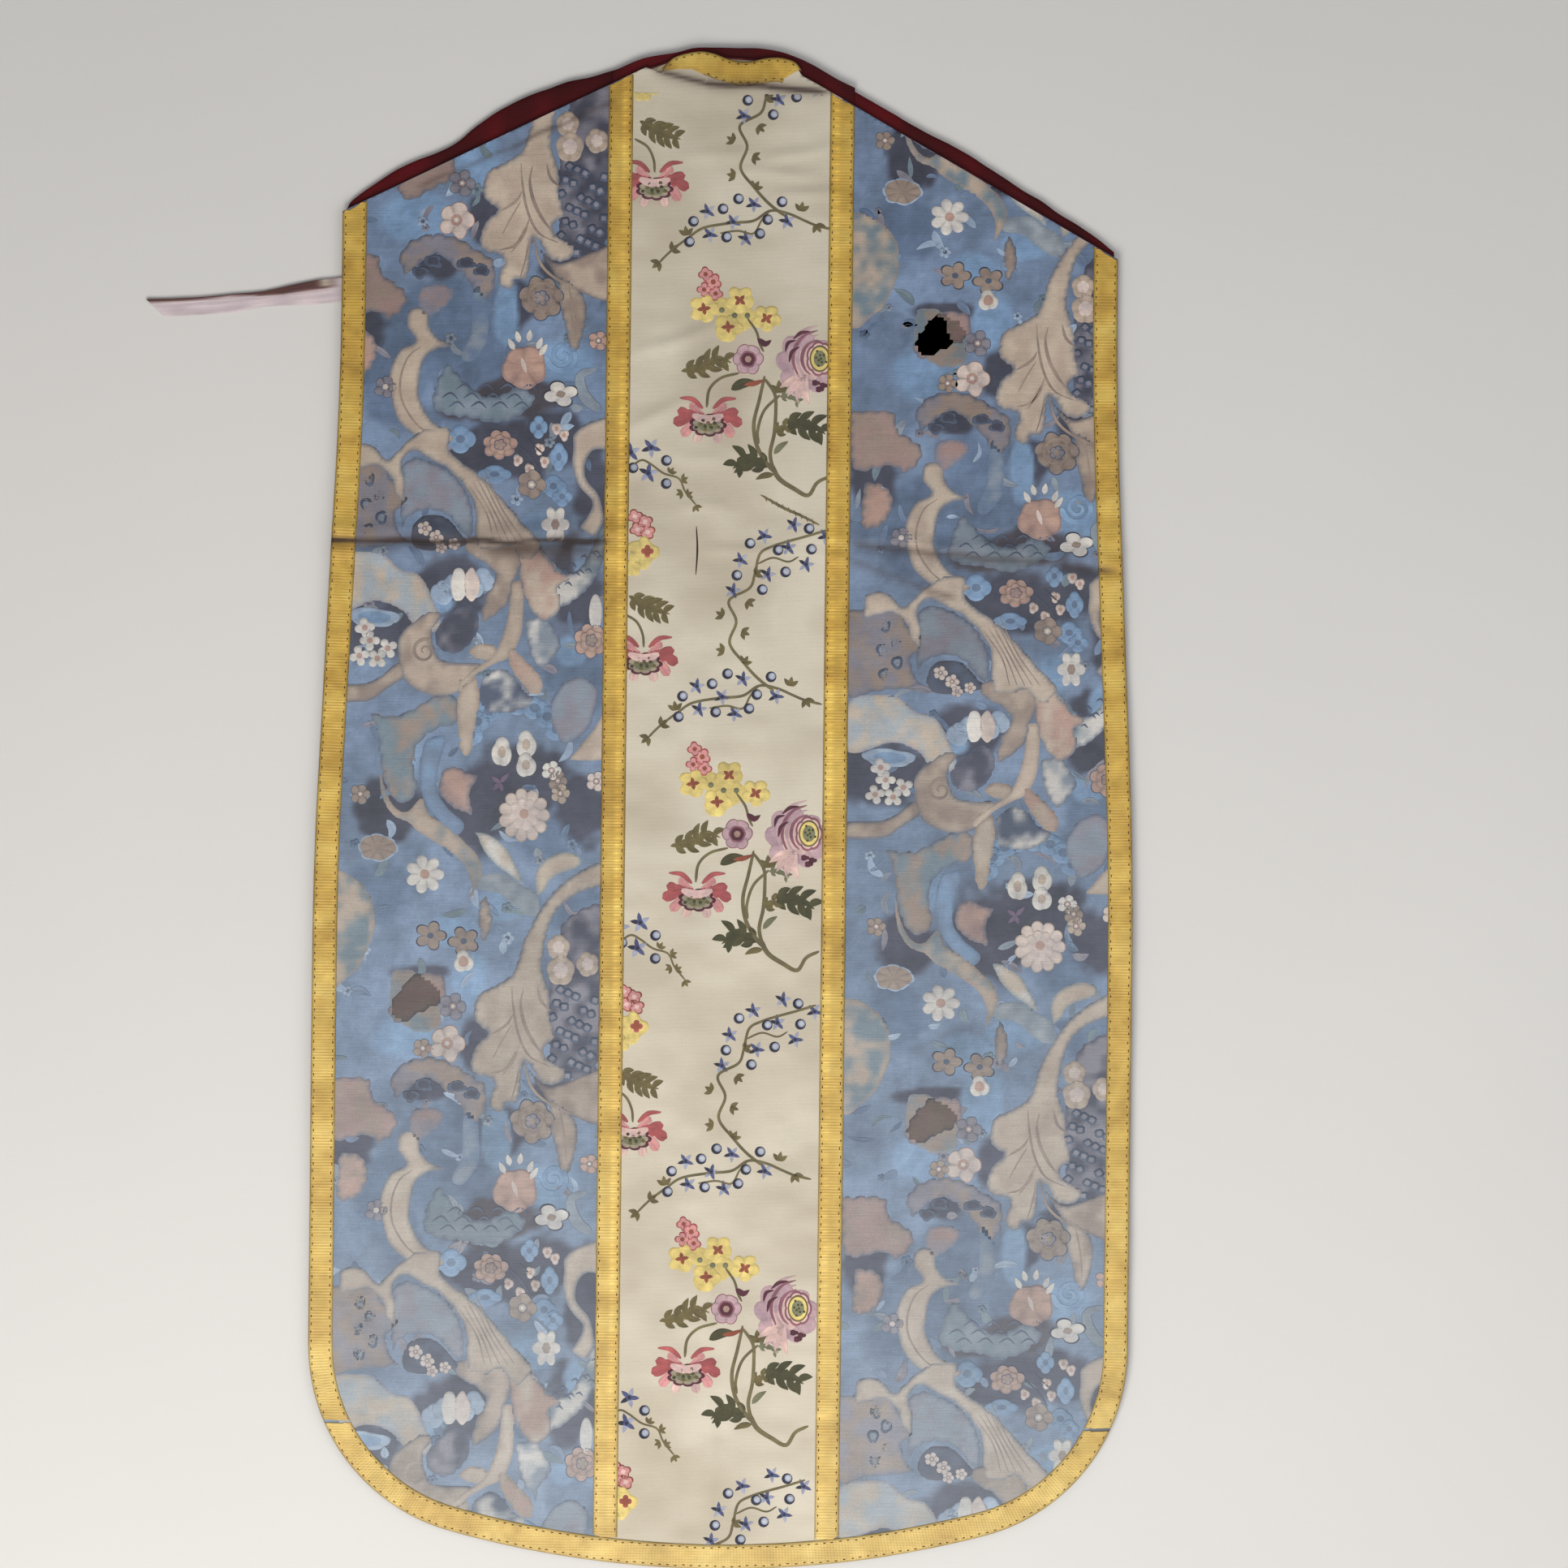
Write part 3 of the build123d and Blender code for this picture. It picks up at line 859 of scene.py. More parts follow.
            first = inner + 0.02 if inner else outer / (steps + 1)
            for place in np.linspace(first, outer, steps + 1):
                shares.append(float(place))
                tones.append(tone)
                lifts.append(1.0)
            inner = outer
        shares.append(1.02)
        tones.append(rings[-1][1])
        lifts.append(-1.0)
        shares = np.array(shares)[:, None]
        order = np.argsort(shares[:, 0], kind="stable")
        shares = shares[order]
        colours = np.array([srgb(tones[k]) for k in order])[:, None, :] + np.zeros((1, around, 1))
        lift = np.array([lifts[k] for k in order])[:, None] + np.zeros((1, around))
        colours = colours * (1.0 - shade * gap[None, :] * np.clip(shares * 1.6, 0, 1))[..., None]
        waist = 1.0 + (reach[None, :] - 1.0) * shares**0.6
        x = centre[0] + radii[0] * shares * waist * np.cos(angle)[None, :]
        y = centre[1] - radii[1] * shares * waist * np.sin(angle)[None, :]
        mottle = 0.8 * noise(x, y, 8.0, 31) + 0.5 * noise(x, y, 3.2, 32)
        colours = colours * (1.0 + mottle[..., None] * np.array([0.09, 0.09, 0.07]))
        self.weave(x, y, lift, colours, level, wrap=True)

    def patch(self, centre: Point, radii: Point, tone: Tone, turn: float = 0.0, level: int = 0) -> None:
        """Weave an irregular area of one colour into the ground."""
        self.disc(centre, radii, [(1.0, tone)], 3, 0.2, turn, level, 0.45, 0.0)

    def bloom(self, centre: Point, radius: float, tone: Tone, petals: int = 5, eye: Tone = Tone.SALMON,
              rim: Tone = Tone.SLATE, level: int = 3, turn: float = 0.0, flat: float = 1.0) -> None:
        """Weave an open flower with an outline, petals and an eye."""
        core = Tone.WHITE if eye is not Tone.WHITE else Tone.SALMON
        self.disc(centre, (radius, radius * flat), [(0.12, core), (0.26, eye), (0.33, rim), (0.95, tone),
            (1.0, rim)], petals, 0.26, turn, level, 0.10, 0.30)

    def rose(self, centre: Point, radii: Point, tone: Tone, rim: Tone = Tone.SLATE,
            heart: Tone = Tone.PINK_WHITE, level: int = 3) -> None:
        """Weave a full rose: rings of petals that turn against each other."""
        self.disc(centre, radii, [(0.94, tone), (1.0, rim)], 7, 0.22, 10.0, level, 0.12, 0.35)
        self.disc(centre, (radii[0] * 0.66, radii[1] * 0.66), [(0.86, tone), (1.0, Tone.TAUPE)], 6, 0.2,
                  35.0, level + 1, 0.10, 0.30)
        self.disc(centre, (radii[0] * 0.36, radii[1] * 0.36), [(0.4, Tone.TAUPE), (0.85, heart), (1.0, rim)],
                  5, 0.2, 0.0, level + 2, 0.0, 0.25)

    def spiral(self, centre: Point, radius: float, turns: float, width: float, tone: Tone,
               start: float = 0.0, level: int = 3, edge: Tone = Tone.SLATE) -> None:
        """Weave a volute that winds in to its middle."""
        share = np.linspace(0.0, 1.0, round(10 * turns) + 3)
        angle = math.radians(start) + share * turns * 2 * np.pi
        arm = radius * (1.0 - 0.86 * share)
        points = np.column_stack([centre[0] + arm * np.cos(angle), centre[1] - arm * np.sin(angle)])
        self.band(points, (width, width * 0.5), tone, edge, level)


@dataclass
class BrocadeRepeat:
    """One repeat of the blue brocade: scrolls, leaves and flowers, measured down from its top."""

    weaver: Weaver

    def weave(self) -> None:
        """Weave every figure of the repeat."""
        if self.weaver.faces_up:
            self.filling()
        self.acanthus()
        self.upper_flowers()
        self.arch_and_scroll()
        self.crown_flower()
        self.middle_buds()
        self.shell_band()
        self.shield()
        self.lilies()
        self.lower_leaves()
        self.crescents()
        self.carnations()
        self.lower_scrolls()

    def filling(self) -> None:
        """Small leaves, commas and dots that fill the ground, in seeded places."""
        draw = self.weaver.random
        tones = (Tone.STEEL, Tone.PALE_BLUE, Tone.GREY_LILAC, Tone.TEAL_GREY, Tone.BLUE_GREY,
                 Tone.LILAC_BLUE)
        for k in range(130):
            x, y = draw.uniform(-20, 196), draw.uniform(0, 643)
            angle = draw.uniform(0, 2 * math.pi)
            length, bend = draw.uniform(9, 22), draw.uniform(-0.8, 0.8)
            middle = (x + length * 0.5 * math.cos(angle), y + length * 0.5 * math.sin(angle))
            tip = (middle[0] + length * 0.5 * math.cos(angle + bend),
                   middle[1] + length * 0.5 * math.sin(angle + bend))
            tone = tones[draw.randint(len(tones))]
            self.weaver.leaf([(x, y), middle, tip], draw.uniform(3.5, 8.0), tone, Tone.SLATE, 0, k % 2)
            if k % 4 == 0:
                size = draw.uniform(3.0, 5.5)
                self.weaver.disc(tip, (size, size), [(0.35, Tone.SLATE), (1.0, tone)], 5, 0.3, 0.0, 0)

    def acanthus(self) -> None:
        """The great pale acanthus leaf that hangs beside the column."""
        mass, band = self.weaver.mass, self.weaver.band
        mass([(154, 8), (164, -14), (196, -24), (196, 36), (188, 109), (167, 113), (152, 93), (150, 60)],
             Tone.GREY_LILAC, Tone.NAVY, Tone.NAVY, 1, 11, 2.5)
        for k in range(26):
            x, y = 160 + 9 * (k % 4) - 3 * (k % 3), 42 + 2.7 * k
            self.weaver.disc((x, y), (4.2, 4.0), [(0.5, Tone.GREY_LILAC), (1.0, Tone.SLATE)], 4, 0.2, 9 * k)
        mass([(132, 99), (138, 106), (148, 116), (162, 115), (196, 104), (198, 146), (169, 141), (152, 131),
              (142, 117)], Tone.BEIGE, Tone.TAUPE, Tone.NAVY, 2, 30, 1.0)
        mass([(196, -60), (196, -42), (176, -34), (162, -25), (152, -10), (146, 20), (148, 33), (152, 45),
            (153, 61), (156, 75), (157, 83), (150, 85), (148, 93), (157, 99), (165, 104), (165, 111),
            (156, 117), (145, 115), (138, 104), (132, 99), (130, 120), (127, 131), (119, 131), (117, 137),
            (111, 139), (105, 133), (106, 124), (109, 116), (104, 111), (97, 111), (91, 106), (90, 98),
            (95, 85), (104, 77), (99, 73), (93, 67), (92, 58), (96, 46), (109, 39), (121, 31), (126, 20),
            (130, 5), (136, -8), (144, -22), (153, -34), (166, -46), (183, -56)], Tone.PALE_BEIGE,
            Tone.BEIGE, Tone.SLATE, 3, 7, 1.5)
        for points, width in (([(122, 40), (123, 54), (127, 76), (136, 94), (152, 102)], 2.2),
                ([(131, 42), (129, 54), (132, 69), (139, 83), (150, 97)], 3.0),
                ([(142, 40), (145, 51), (153, 59)], 2.6), ([(129, 83), (124, 97), (115, 110)], 2.2),
                ([(123, 62), (118, 70), (106, 78)], 2.4), ([(122, 70), (114, 84), (108, 96)], 1.4),
                ([(132, 96), (138, 118), (152, 131), (174, 141)], 2.4),
                ([(126, 90), (118, 104), (106, 108)], 2.0), ([(129, 100), (126, 116), (122, 130)], 1.4)):
            band(points, (0.8, width, width, 0.8), Tone.TAUPE, Tone.CHARCOAL, 4)
        mass([(152, 126), (160, 130), (172, 142), (175, 160), (168, 186), (161, 186), (157, 166),
            (152, 148)], Tone.BEIGE, Tone.TAUPE, Tone.SLATE, 3, 8, 1.2)
        band([(160, 134), (164, 155), (166, 176)], (1.0, 1.6, 0.8), Tone.TAUPE, Tone.CHARCOAL, 4)
        mass([(100, -34), (106, -20), (106, -6), (99, 6), (95, -8), (95, -22)], Tone.BEIGE, level=2)

    def upper_flowers(self) -> None:
        """Flowers and small leaves left of the acanthus."""
        weaver = self.weaver
        weaver.mass([(68, 30), (72, 44), (66, 55), (52, 62), (38, 70), (29, 68), (25, 59), (32, 44),
            (46, 30)], Tone.TAUPE, Tone.ROSE_TAUPE, Tone.SLATE, 2, 12, 2.0)
        weaver.bloom((76, 56), 11, Tone.GREY_LILAC, 5, Tone.ROSE_TAUPE, level=2)
        weaver.bloom((72, 85), 14, Tone.PINK_WHITE, 5, Tone.SALMON, Tone.SALMON)
        weaver.rose((139, 145), (17.5, 17.5), Tone.TAUPE, heart=Tone.GREY_LILAC)
        weaver.spiral((139, 145), 12, 2.2, 3.0, Tone.TAUPE, 40.0, 5, Tone.CHARCOAL)
        for x, y, size in ((158, 9, 9), (160, 27, 11), (181, 22, 9)):
            weaver.disc((x, y), (size, size * 1.1), [(0.5, Tone.PINK_WHITE), (1.0, Tone.BEIGE)], 5, 0.12, x,
                2)
        for x, y, turn in ((58, 1, 0), (84, 5, 40)):
            weaver.disc((x, y), (13, 12), [(0.2, Tone.SLATE), (0.9, Tone.TAUPE), (1.0, Tone.NAVY)], 5, 0.5,
                turn, 2)

    def arch_and_scroll(self) -> None:
        """The grey arch, the hanging pink flowers and the C scroll beneath it."""
        weaver = self.weaver
        weaver.mass([(26, 116), (33, 104), (45, 97), (61, 95), (77, 100), (90, 108), (101, 115), (104, 124),
            (103, 137), (96, 147), (87, 144), (81, 133), (70, 122), (58, 113), (44, 120), (33, 129)],
            Tone.GREY_LILAC, Tone.TAUPE, Tone.SLATE, 2, 12, 2.2)
        for x, y in ((54, 117), (80, 118), (92, 124), (44, 126)):
            weaver.disc((x, y), (8, 5), [(0.6, Tone.NAVY), (1.0, Tone.SLATE)], 3, 0.3, x, 3, 0.3)
        weaver.mass([(-24, 112), (10, 112), (15, 127), (28, 136), (35, 145), (30, 157), (19, 164), (10, 158),
            (-20, 160)], Tone.ROSE_TAUPE, Tone.TAUPE, Tone.SLATE, 2, 11, 2.2)
        weaver.mass([(44, 137), (58, 134), (71, 139), (67, 150), (56, 159), (48, 162), (42, 150)],
            Tone.GREY_LILAC, Tone.ROSE_TAUPE, Tone.STEEL, 3, 8, 1.6)
        weaver.mass([(33, 168), (35, 157), (43, 153), (51, 157), (53, 169), (60, 178), (72, 183), (57, 187),
            (48, 195), (45, 212), (46, 226), (55, 242), (74, 254), (62, 262), (44, 256), (28, 242),
            (21, 221), (21, 204), (28, 187), (41, 180)], Tone.BEIGE, Tone.PALE_BEIGE, Tone.SLATE, 3, 40, 0.8)
        weaver.band([(46, 184), (36, 192), (30, 208), (31, 226), (42, 244), (58, 256)], (1.0, 1.8, 1.8, 0.8),
            Tone.TAUPE, Tone.CHARCOAL, level=4)
        weaver.mass([(88, 130), (98, 152), (97, 180), (84, 196), (76, 190), (84, 172), (84, 150)],
            Tone.BLUE_GREY, Tone.STEEL, Tone.STEEL, 2, 30, 0.8)
        weaver.mass([(-12, 170), (4, 172), (12, 184), (9, 198), (0, 208), (-14, 206)], Tone.SALMON,
            Tone.TAUPE, Tone.SLATE, 2, 9, 2.0)
        weaver.mass([(56, 214), (66, 196), (76, 206), (88, 218), (104, 222), (122, 214), (136, 224),
            (122, 238), (104, 244), (84, 240), (66, 238), (54, 230)], Tone.BLUE_GREY, Tone.TEAL_GREY,
            Tone.SLATE, 2, 10, 2.4)
        for k in range(12):
            x, y = 62 + 5.6 * k, 224 + 8 * math.sin(2.1 * k)
            weaver.band([(x, y), (x + 7, y - 4), (x + 13, y + 1)], (0.8, 2.0, 0.8), Tone.SLATE,
                Tone.CHARCOAL, 3)
        weaver.bloom((18, 216), 9, Tone.GREY_LILAC, 5, Tone.PINK_WHITE)

    def crown_flower(self) -> None:
        """The pomegranate with its crown of white petals, and the blue spiral beside it."""
        weaver = self.weaver
        weaver.disc((126, 199), (18, 17), [(0.9, Tone.SALMON), (1.0, Tone.ROSE_TAUPE)], 5, 0.10, 54, 3, 0.08)
        weaver.leaf([(124, 192), (128, 204)], 4, Tone.PINK_WHITE, Tone.SALMON, 4, 0)
        for x, y, lean in ((116, 181, -4), (121, 175, -2), (130, 174, 1), (138, 180, 3), (141, 185, 5)):
            weaver.leaf([(x - lean * 0.6, y + 5), (x + lean * 0.6, y - 4)], 5.0, Tone.WHITE, Tone.TAUPE, 4,
                0)
        weaver.spiral((156, 190), 13, 1.8, 5.5, Tone.SKY, 180.0)
        weaver.disc((155, 220), (15, 11), [(0.25, Tone.TAUPE), (0.88, Tone.WHITE), (1.0, Tone.NAVY)], 4, 0.5,
            20)
        weaver.band([(186, 232), (174, 222), (170, 206), (182, 200)], (7, 10, 8, 4), Tone.BLUE_GREY, level=2)
        weaver.bloom((184, 178), 8, Tone.SALMON, 5, Tone.TAUPE)

    def middle_buds(self) -> None:
        """Small roses, buds and blue drops on the dark ground above the shell band."""
        weaver = self.weaver
        weaver.rose((108, 260), (14, 13), Tone.SALMON, heart=Tone.ROSE_TAUPE)
        weaver.bloom((133, 291), 12, Tone.TAUPE, 5, Tone.BEIGE, Tone.SLATE)
        for x, y, wide, high in ((77, 256, 12, 11), (104, 283, 13, 7), (154, 269, 7, 11), (157, 300, 8, 8),
                (138, 246, 7, 9), (150, 292, 10, 9)):
            weaver.disc((x, y), (wide, high), [(0.3, Tone.STEEL), (1.0, Tone.SKY)], 4, 0.2)
        for x, y in ((139, 263), (143, 273), (131, 279), (122, 272), (152, 247), (158, 252)):
            weaver.disc((x, y), (4.0, 5.0), [(0.4, Tone.SALMON), (1.0, Tone.PINK_WHITE)], 3, 0.3, x)
        for points in ([(122, 260), (132, 270), (140, 282)], [(130, 256), (136, 262), (143, 268)]):
            weaver.band(points, (1.5, 2.0, 1.0), Tone.NAVY, Tone.NAVY, 2)
        weaver.mass([(193, 236), (175, 243), (165, 251), (165, 262), (164, 277), (170, 292), (180, 305),
            (175, 318), (171, 324), (182, 331), (190, 317), (186, 299), (177, 287), (175, 275), (181, 264),
            (195, 262)], Tone.BEIGE, Tone.PALE_BEIGE, Tone.SLATE, 3, 30, 0.8)
        weaver.disc((152, 322), (11, 15), [(0.3, Tone.TAUPE), (1.0, Tone.WHITE)], 6, 0.45, 0.0, 3)

    def shell_band(self) -> None:
        """The broad shell and acanthus band that sweeps down to the right, and its tongues."""
        mass, band = self.weaver.mass, self.weaver.band
        mass([(139, 336), (151, 350), (162, 360), (173, 353), (182, 335), (187, 321), (194, 322), (191, 345),
              (184, 364), (173, 377), (157, 387), (144, 380), (134, 364), (135, 353)],
             Tone.WHITE, Tone.TEAL_GREY, Tone.SLATE, 2, 8, 1.8)
        for k in range(16):
            x, y = 144 + 3.1 * k, 368 - 0.12 * (k - 3) ** 2 - 0.8 * k + 7 * math.sin(2.4 * k)
            band([(x - 3, y), (x, y - 2), (x + 3, y + 1)], (0.8, 2.2, 0.8), Tone.SLATE, Tone.CHARCOAL, 3)
        mass([(31, 276), (42, 270), (53, 273), (69, 281), (81, 294), (88, 313), (87, 333), (78, 329),
            (67, 316), (51, 312), (37, 318), (32, 327), (30, 308)], Tone.GREY_LILAC, Tone.BLUE_GREY,
            Tone.SLATE, 2, 9, 1.4)
        mass([(91, 329), (107, 336), (120, 331), (127, 350), (121, 366), (116, 384), (98, 399), (94, 394),
              (98, 377), (105, 364), (98, 354), (84, 346), (80, 336)], Tone.BEIGE, Tone.TAUPE, Tone.SLATE, 3,
             12, 1.2)
        mass([(122, 343), (136, 337), (154, 356), (166, 364), (156, 371), (158, 385), (148, 397), (138, 395),
              (128, 380), (124, 364)], Tone.PALE_BEIGE, Tone.SALMON, Tone.SLATE, 4, 14, 1.2)
        mass([(-10, 262), (6, 260), (20, 272), (26, 267), (36, 257), (50, 247), (62, 246), (70, 249),
            (70, 266), (92, 283), (106, 297), (116, 308), (127, 321), (141, 336), (138, 346), (128, 352),
            (116, 340), (104, 344), (91, 341), (89, 325), (88, 308), (79, 292), (66, 279), (52, 272),
            (42, 266), (32, 274), (35, 290), (34, 306), (26, 300), (22, 286), (10, 278), (-10, 282)],
            Tone.BEIGE, Tone.PALE_BEIGE, Tone.SLATE, 5, 16, 1.0)
        for lean in range(5):
            band([(84 + 3 * lean, 292 - 3 * lean), (98 + 3 * lean, 314 - lean), (104 + 6 * lean, 336)],
                 (0.6, 1.5, 0.8), Tone.TAUPE, Tone.CHARCOAL, 6)
        mass([(118, 366), (127, 368), (128, 396), (125, 412), (117, 426), (105, 432), (92, 440), (80, 455),
              (76, 447), (88, 436), (104, 424), (112, 408), (116, 388)], Tone.PALE_BEIGE, Tone.BEIGE,
             Tone.TAUPE, 4, 40, 0.6)
        for points, tone in (([(84, 422), (92, 415), (103, 416), (108, 421), (101, 429), (90, 427)],
                Tone.PALE_BEIGE), ([(118, 416), (126, 424), (142, 441), (143, 453), (135, 455), (126, 446),
                (118, 434), (115, 423)], Tone.SALMON), ([(92, 441), (95, 459), (92, 479), (89, 497),
                (84, 504), (79, 497), (77, 479), (76, 463), (81, 448)], Tone.PALE_BEIGE)):
            mass(points, tone, Tone.BEIGE, Tone.TAUPE, 5, 9, 1.0)

    def shield(self) -> None:
        """The mottled shield and its frame at the side, and the flowers in the arch beside it."""
        mass, weaver = self.weaver.mass, self.weaver
        mass([(-24, 275), (19, 273), (23, 287), (34, 293), (36, 306), (27, 314), (31, 330), (36, 337),
            (0, 342), (-24, 344)], Tone.TAUPE, Tone.GREY_LILAC, Tone.SLATE, 2, 11, 1.2)
        for x, y in ((6, 288), (14, 300), (4, 308), (16, 318), (6, 328)):
            weaver.disc((x, y), (5.0, 6.0), [(0.5, Tone.BLUE_GREY), (1.0, Tone.SLATE)], 3, 0.25, x * y)
        mass([(0, 343), (16, 345), (31, 357), (46, 362), (57, 380), (64, 402), (50, 408), (40, 400),
            (32, 390), (12, 384), (-22, 392), (-22, 350)], Tone.PALE_BEIGE, Tone.HAZE, Tone.GREY_LILAC, 1,
            40, 0.6)
        mass([(38, 334), (42, 322), (52, 315), (66, 317), (80, 331), (84, 338), (60, 344), (44, 342)],
            Tone.NAVY, Tone.SLATE, Tone.CHARCOAL, 3, 30, 0.6)
        for x, y, size in ((50, 326, 6), (59, 333, 6), (63, 341, 5), (73, 338, 5)):
            weaver.bloom((x, y), size, Tone.PINK_WHITE, 5, Tone.SALMON, level=5)
        for x, y in ((72, 371), (88, 371), (64, 376), (96, 366)):
            weaver.disc((x, y), (9, 10), [(1.0, Tone.PALE_BLUE)], 3, 0.2, x, 2)
        for x, tone in ((77, Tone.WHITE), (87, Tone.PINK_WHITE)):
            weaver.disc((x, 370), (6, 13), [(1.0, tone)], 0, 0.0, 0.0, 3, 0.1)
        weaver.disc((12, 396), (22, 8), [(0.6, Tone.SKY), (1.0, Tone.PALE_BLUE)], 3, 0.2, 20, 2, 0.2)

    def lilies(self) -> None:
        """Pointed pale lilies on dark ground, the great scroll and the blooms right of them."""
        mass, weaver = self.weaver.mass, self.weaver
        mass([(66, 394), (84, 384), (94, 396), (90, 412), (76, 424), (62, 420), (58, 408)], Tone.GREY_LILAC,
             Tone.NAVY, Tone.SLATE, 2, 8, 1.4)
        mass([(38, 401), (55, 390), (64, 394), (57, 408), (59, 420), (64, 428), (78, 430), (96, 432),
            (86, 446), (76, 455), (56, 457), (38, 448), (30, 430), (30, 413)], Tone.BEIGE, Tone.TAUPE,
            Tone.SLATE, 3, 40, 0.8)
        weaver.spiral((51, 422), 10, 1.5, 3.4, Tone.TAUPE, 60.0, 4, Tone.CHARCOAL)
        for x, y, turn in ((8, 414, 0), (22, 420, 30), (0, 426, 15), (14, 428, 45), (4, 404, 10)):
            weaver.disc((x, y), (8, 8), [(0.3, Tone.SALMON), (1.0, Tone.WHITE)], 4, 0.5, turn, 3)
        mass([(-22, 448), (8, 446), (32, 430), (36, 442), (22, 452), (6, 462), (-22, 462)], Tone.BEIGE,
             Tone.TAUPE, Tone.SLATE, 2, 40, 0.8)
        weaver.rose((181, 412), (14, 15), Tone.SALMON, heart=Tone.TAUPE)
        weaver.disc((184, 390), (5, 14), [(1.0, Tone.WHITE)], level=3)
        mass([(128, 396), (144, 394), (152, 404), (158, 416), (150, 428), (142, 436), (132, 420)],
            Tone.WHITE, Tone.BLUE_GREY, Tone.SLATE, 2, 8, 1.6)

    def lower_leaves(self) -> None:
        """The mottled fans and the blue ground petals round the lower bouquet."""
        mass, weaver = self.weaver.mass, self.weaver
        mass([(95, 443), (108, 434), (120, 439), (128, 450), (140, 458), (122, 470), (99, 469), (93, 457)],
             Tone.WHITE, Tone.SLATE, Tone.SLATE, 2, 7, 1.6)
        mass([(160, 444), (174, 440), (187, 451), (184, 469), (178, 483), (162, 494), (152, 482),
            (148, 464)], Tone.GREY_LILAC, Tone.BLUE_GREY, Tone.SLATE, 2, 40, 0.8)
        mass([(196, 446), (190, 470), (172, 496), (166, 506), (196, 500)], Tone.BEIGE, Tone.PALE_BEIGE,
             Tone.TAUPE, 3, 40, 0.8)
        for k in range(8):
            angle = math.radians(165 - 20 * k)
            place = (122 + 36 * math.cos(angle), 496 - 34 * math.sin(angle))
            weaver.disc(place, (10, 9), [(0.4, Tone.STEEL), (1.0, Tone.SKY)], 3, 0.12, 0, 1)
        for x, y, high in ((112, 500, 12), (131, 494, 11), (131, 510, 10)):
            weaver.disc((x, y), (8, high), [(0.4, Tone.BEIGE), (1.0, Tone.WHITE)], 3, 0.2, 90 + x, 4)

    def crescents(self) -> None:
        """The grey and the blue crescents that hold the lower bouquet, and their trailing curve."""
        mass = self.weaver.mass
        mass([(8, 470), (28, 472), (46, 464), (60, 456), (76, 457), (77, 478), (60, 484), (46, 497),
            (44, 514), (47, 529), (40, 540), (30, 540), (22, 530), (17, 512), (14, 488)], Tone.TEAL_GREY,
            Tone.TAUPE, Tone.SLATE, 2, 12, 1.8)
        mass([(52, 490), (68, 488), (64, 510), (62, 530), (70, 543), (84, 557), (76, 566), (62, 553),
            (51, 537), (47, 516)], Tone.SKY, Tone.LILAC_BLUE, Tone.STEEL, 3, 40, 0.6)
        mass([(16, 505), (21, 528), (29, 543), (39, 547), (50, 536), (56, 549), (72, 559), (84, 570),
            (94, 581), (98, 597), (88, 616), (89, 602), (84, 590), (76, 581), (62, 572), (48, 564),
            (40, 556), (27, 550), (18, 534)], Tone.BEIGE, Tone.TEAL_GREY, Tone.TAUPE, 4, 40, 0.6)
        mass([(92, 596), (115, 594), (127, 602), (141, 611), (143, 626), (135, 629), (123, 621), (111, 611),
              (95, 608)], Tone.HAZE, Tone.BLUE_GREY, Tone.BLUE_GREY, 1, 40, 0.6)

    def carnations(self) -> None:
        """The carnation, its companion rose, the leaves under them and the florets round them."""
        mass, weaver = self.weaver.mass, self.weaver
        mass([(65, 515), (75, 511), (86, 516), (94, 519), (88, 532), (90, 549), (82, 547), (74, 544),
            (63, 532)], Tone.SALMON, Tone.ROSE_TAUPE, Tone.SLATE, 4, 7, 1.6)
        weaver.disc((130, 549), (20, 21), [(0.2, Tone.SALMON), (0.95, Tone.PINK_WHITE), (1.0, Tone.BEIGE)],
            11, 0.16, 0.0, 3)
        weaver.disc((130, 548), (12, 13), [(0.3, Tone.SALMON), (1.0, Tone.PINK_WHITE)], 8, 0.25, 12.0, 4)
        for x, y in ((111, 523), (104, 519), (118, 516), (113, 531), (105, 530)):
            weaver.leaf([(111, 524), ((x + 111) / 2, (y + 524) / 2), (x, y)], 4, Tone.PURPLE, Tone.NAVY, 3,
                0)
        for x, y, tone in ((156, 522, Tone.TAUPE), (151, 514, Tone.WHITE), (158, 532, Tone.BEIGE),
                (2, 534, Tone.TAUPE), (186, 522, Tone.PINK_WHITE), (53, 732, Tone.TAUPE)):
            weaver.bloom((x, y), 8, tone, 5, Tone.SALMON, Tone.SLATE)
        mass([(91, 562), (102, 564), (115, 573), (124, 587), (130, 604), (123, 599), (111, 591), (100, 579)],
             Tone.PALE_BEIGE, Tone.WHITE, Tone.TEAL_GREY, 3, 40, 0.8)
        mass([(140, 613), (139, 595), (147, 583), (161, 577), (173, 580), (175, 587), (168, 592), (158, 595),
              (151, 600), (147, 608)], Tone.BEIGE, Tone.PALE_BEIGE, Tone.TEAL_GREY, 3, 40, 0.8)

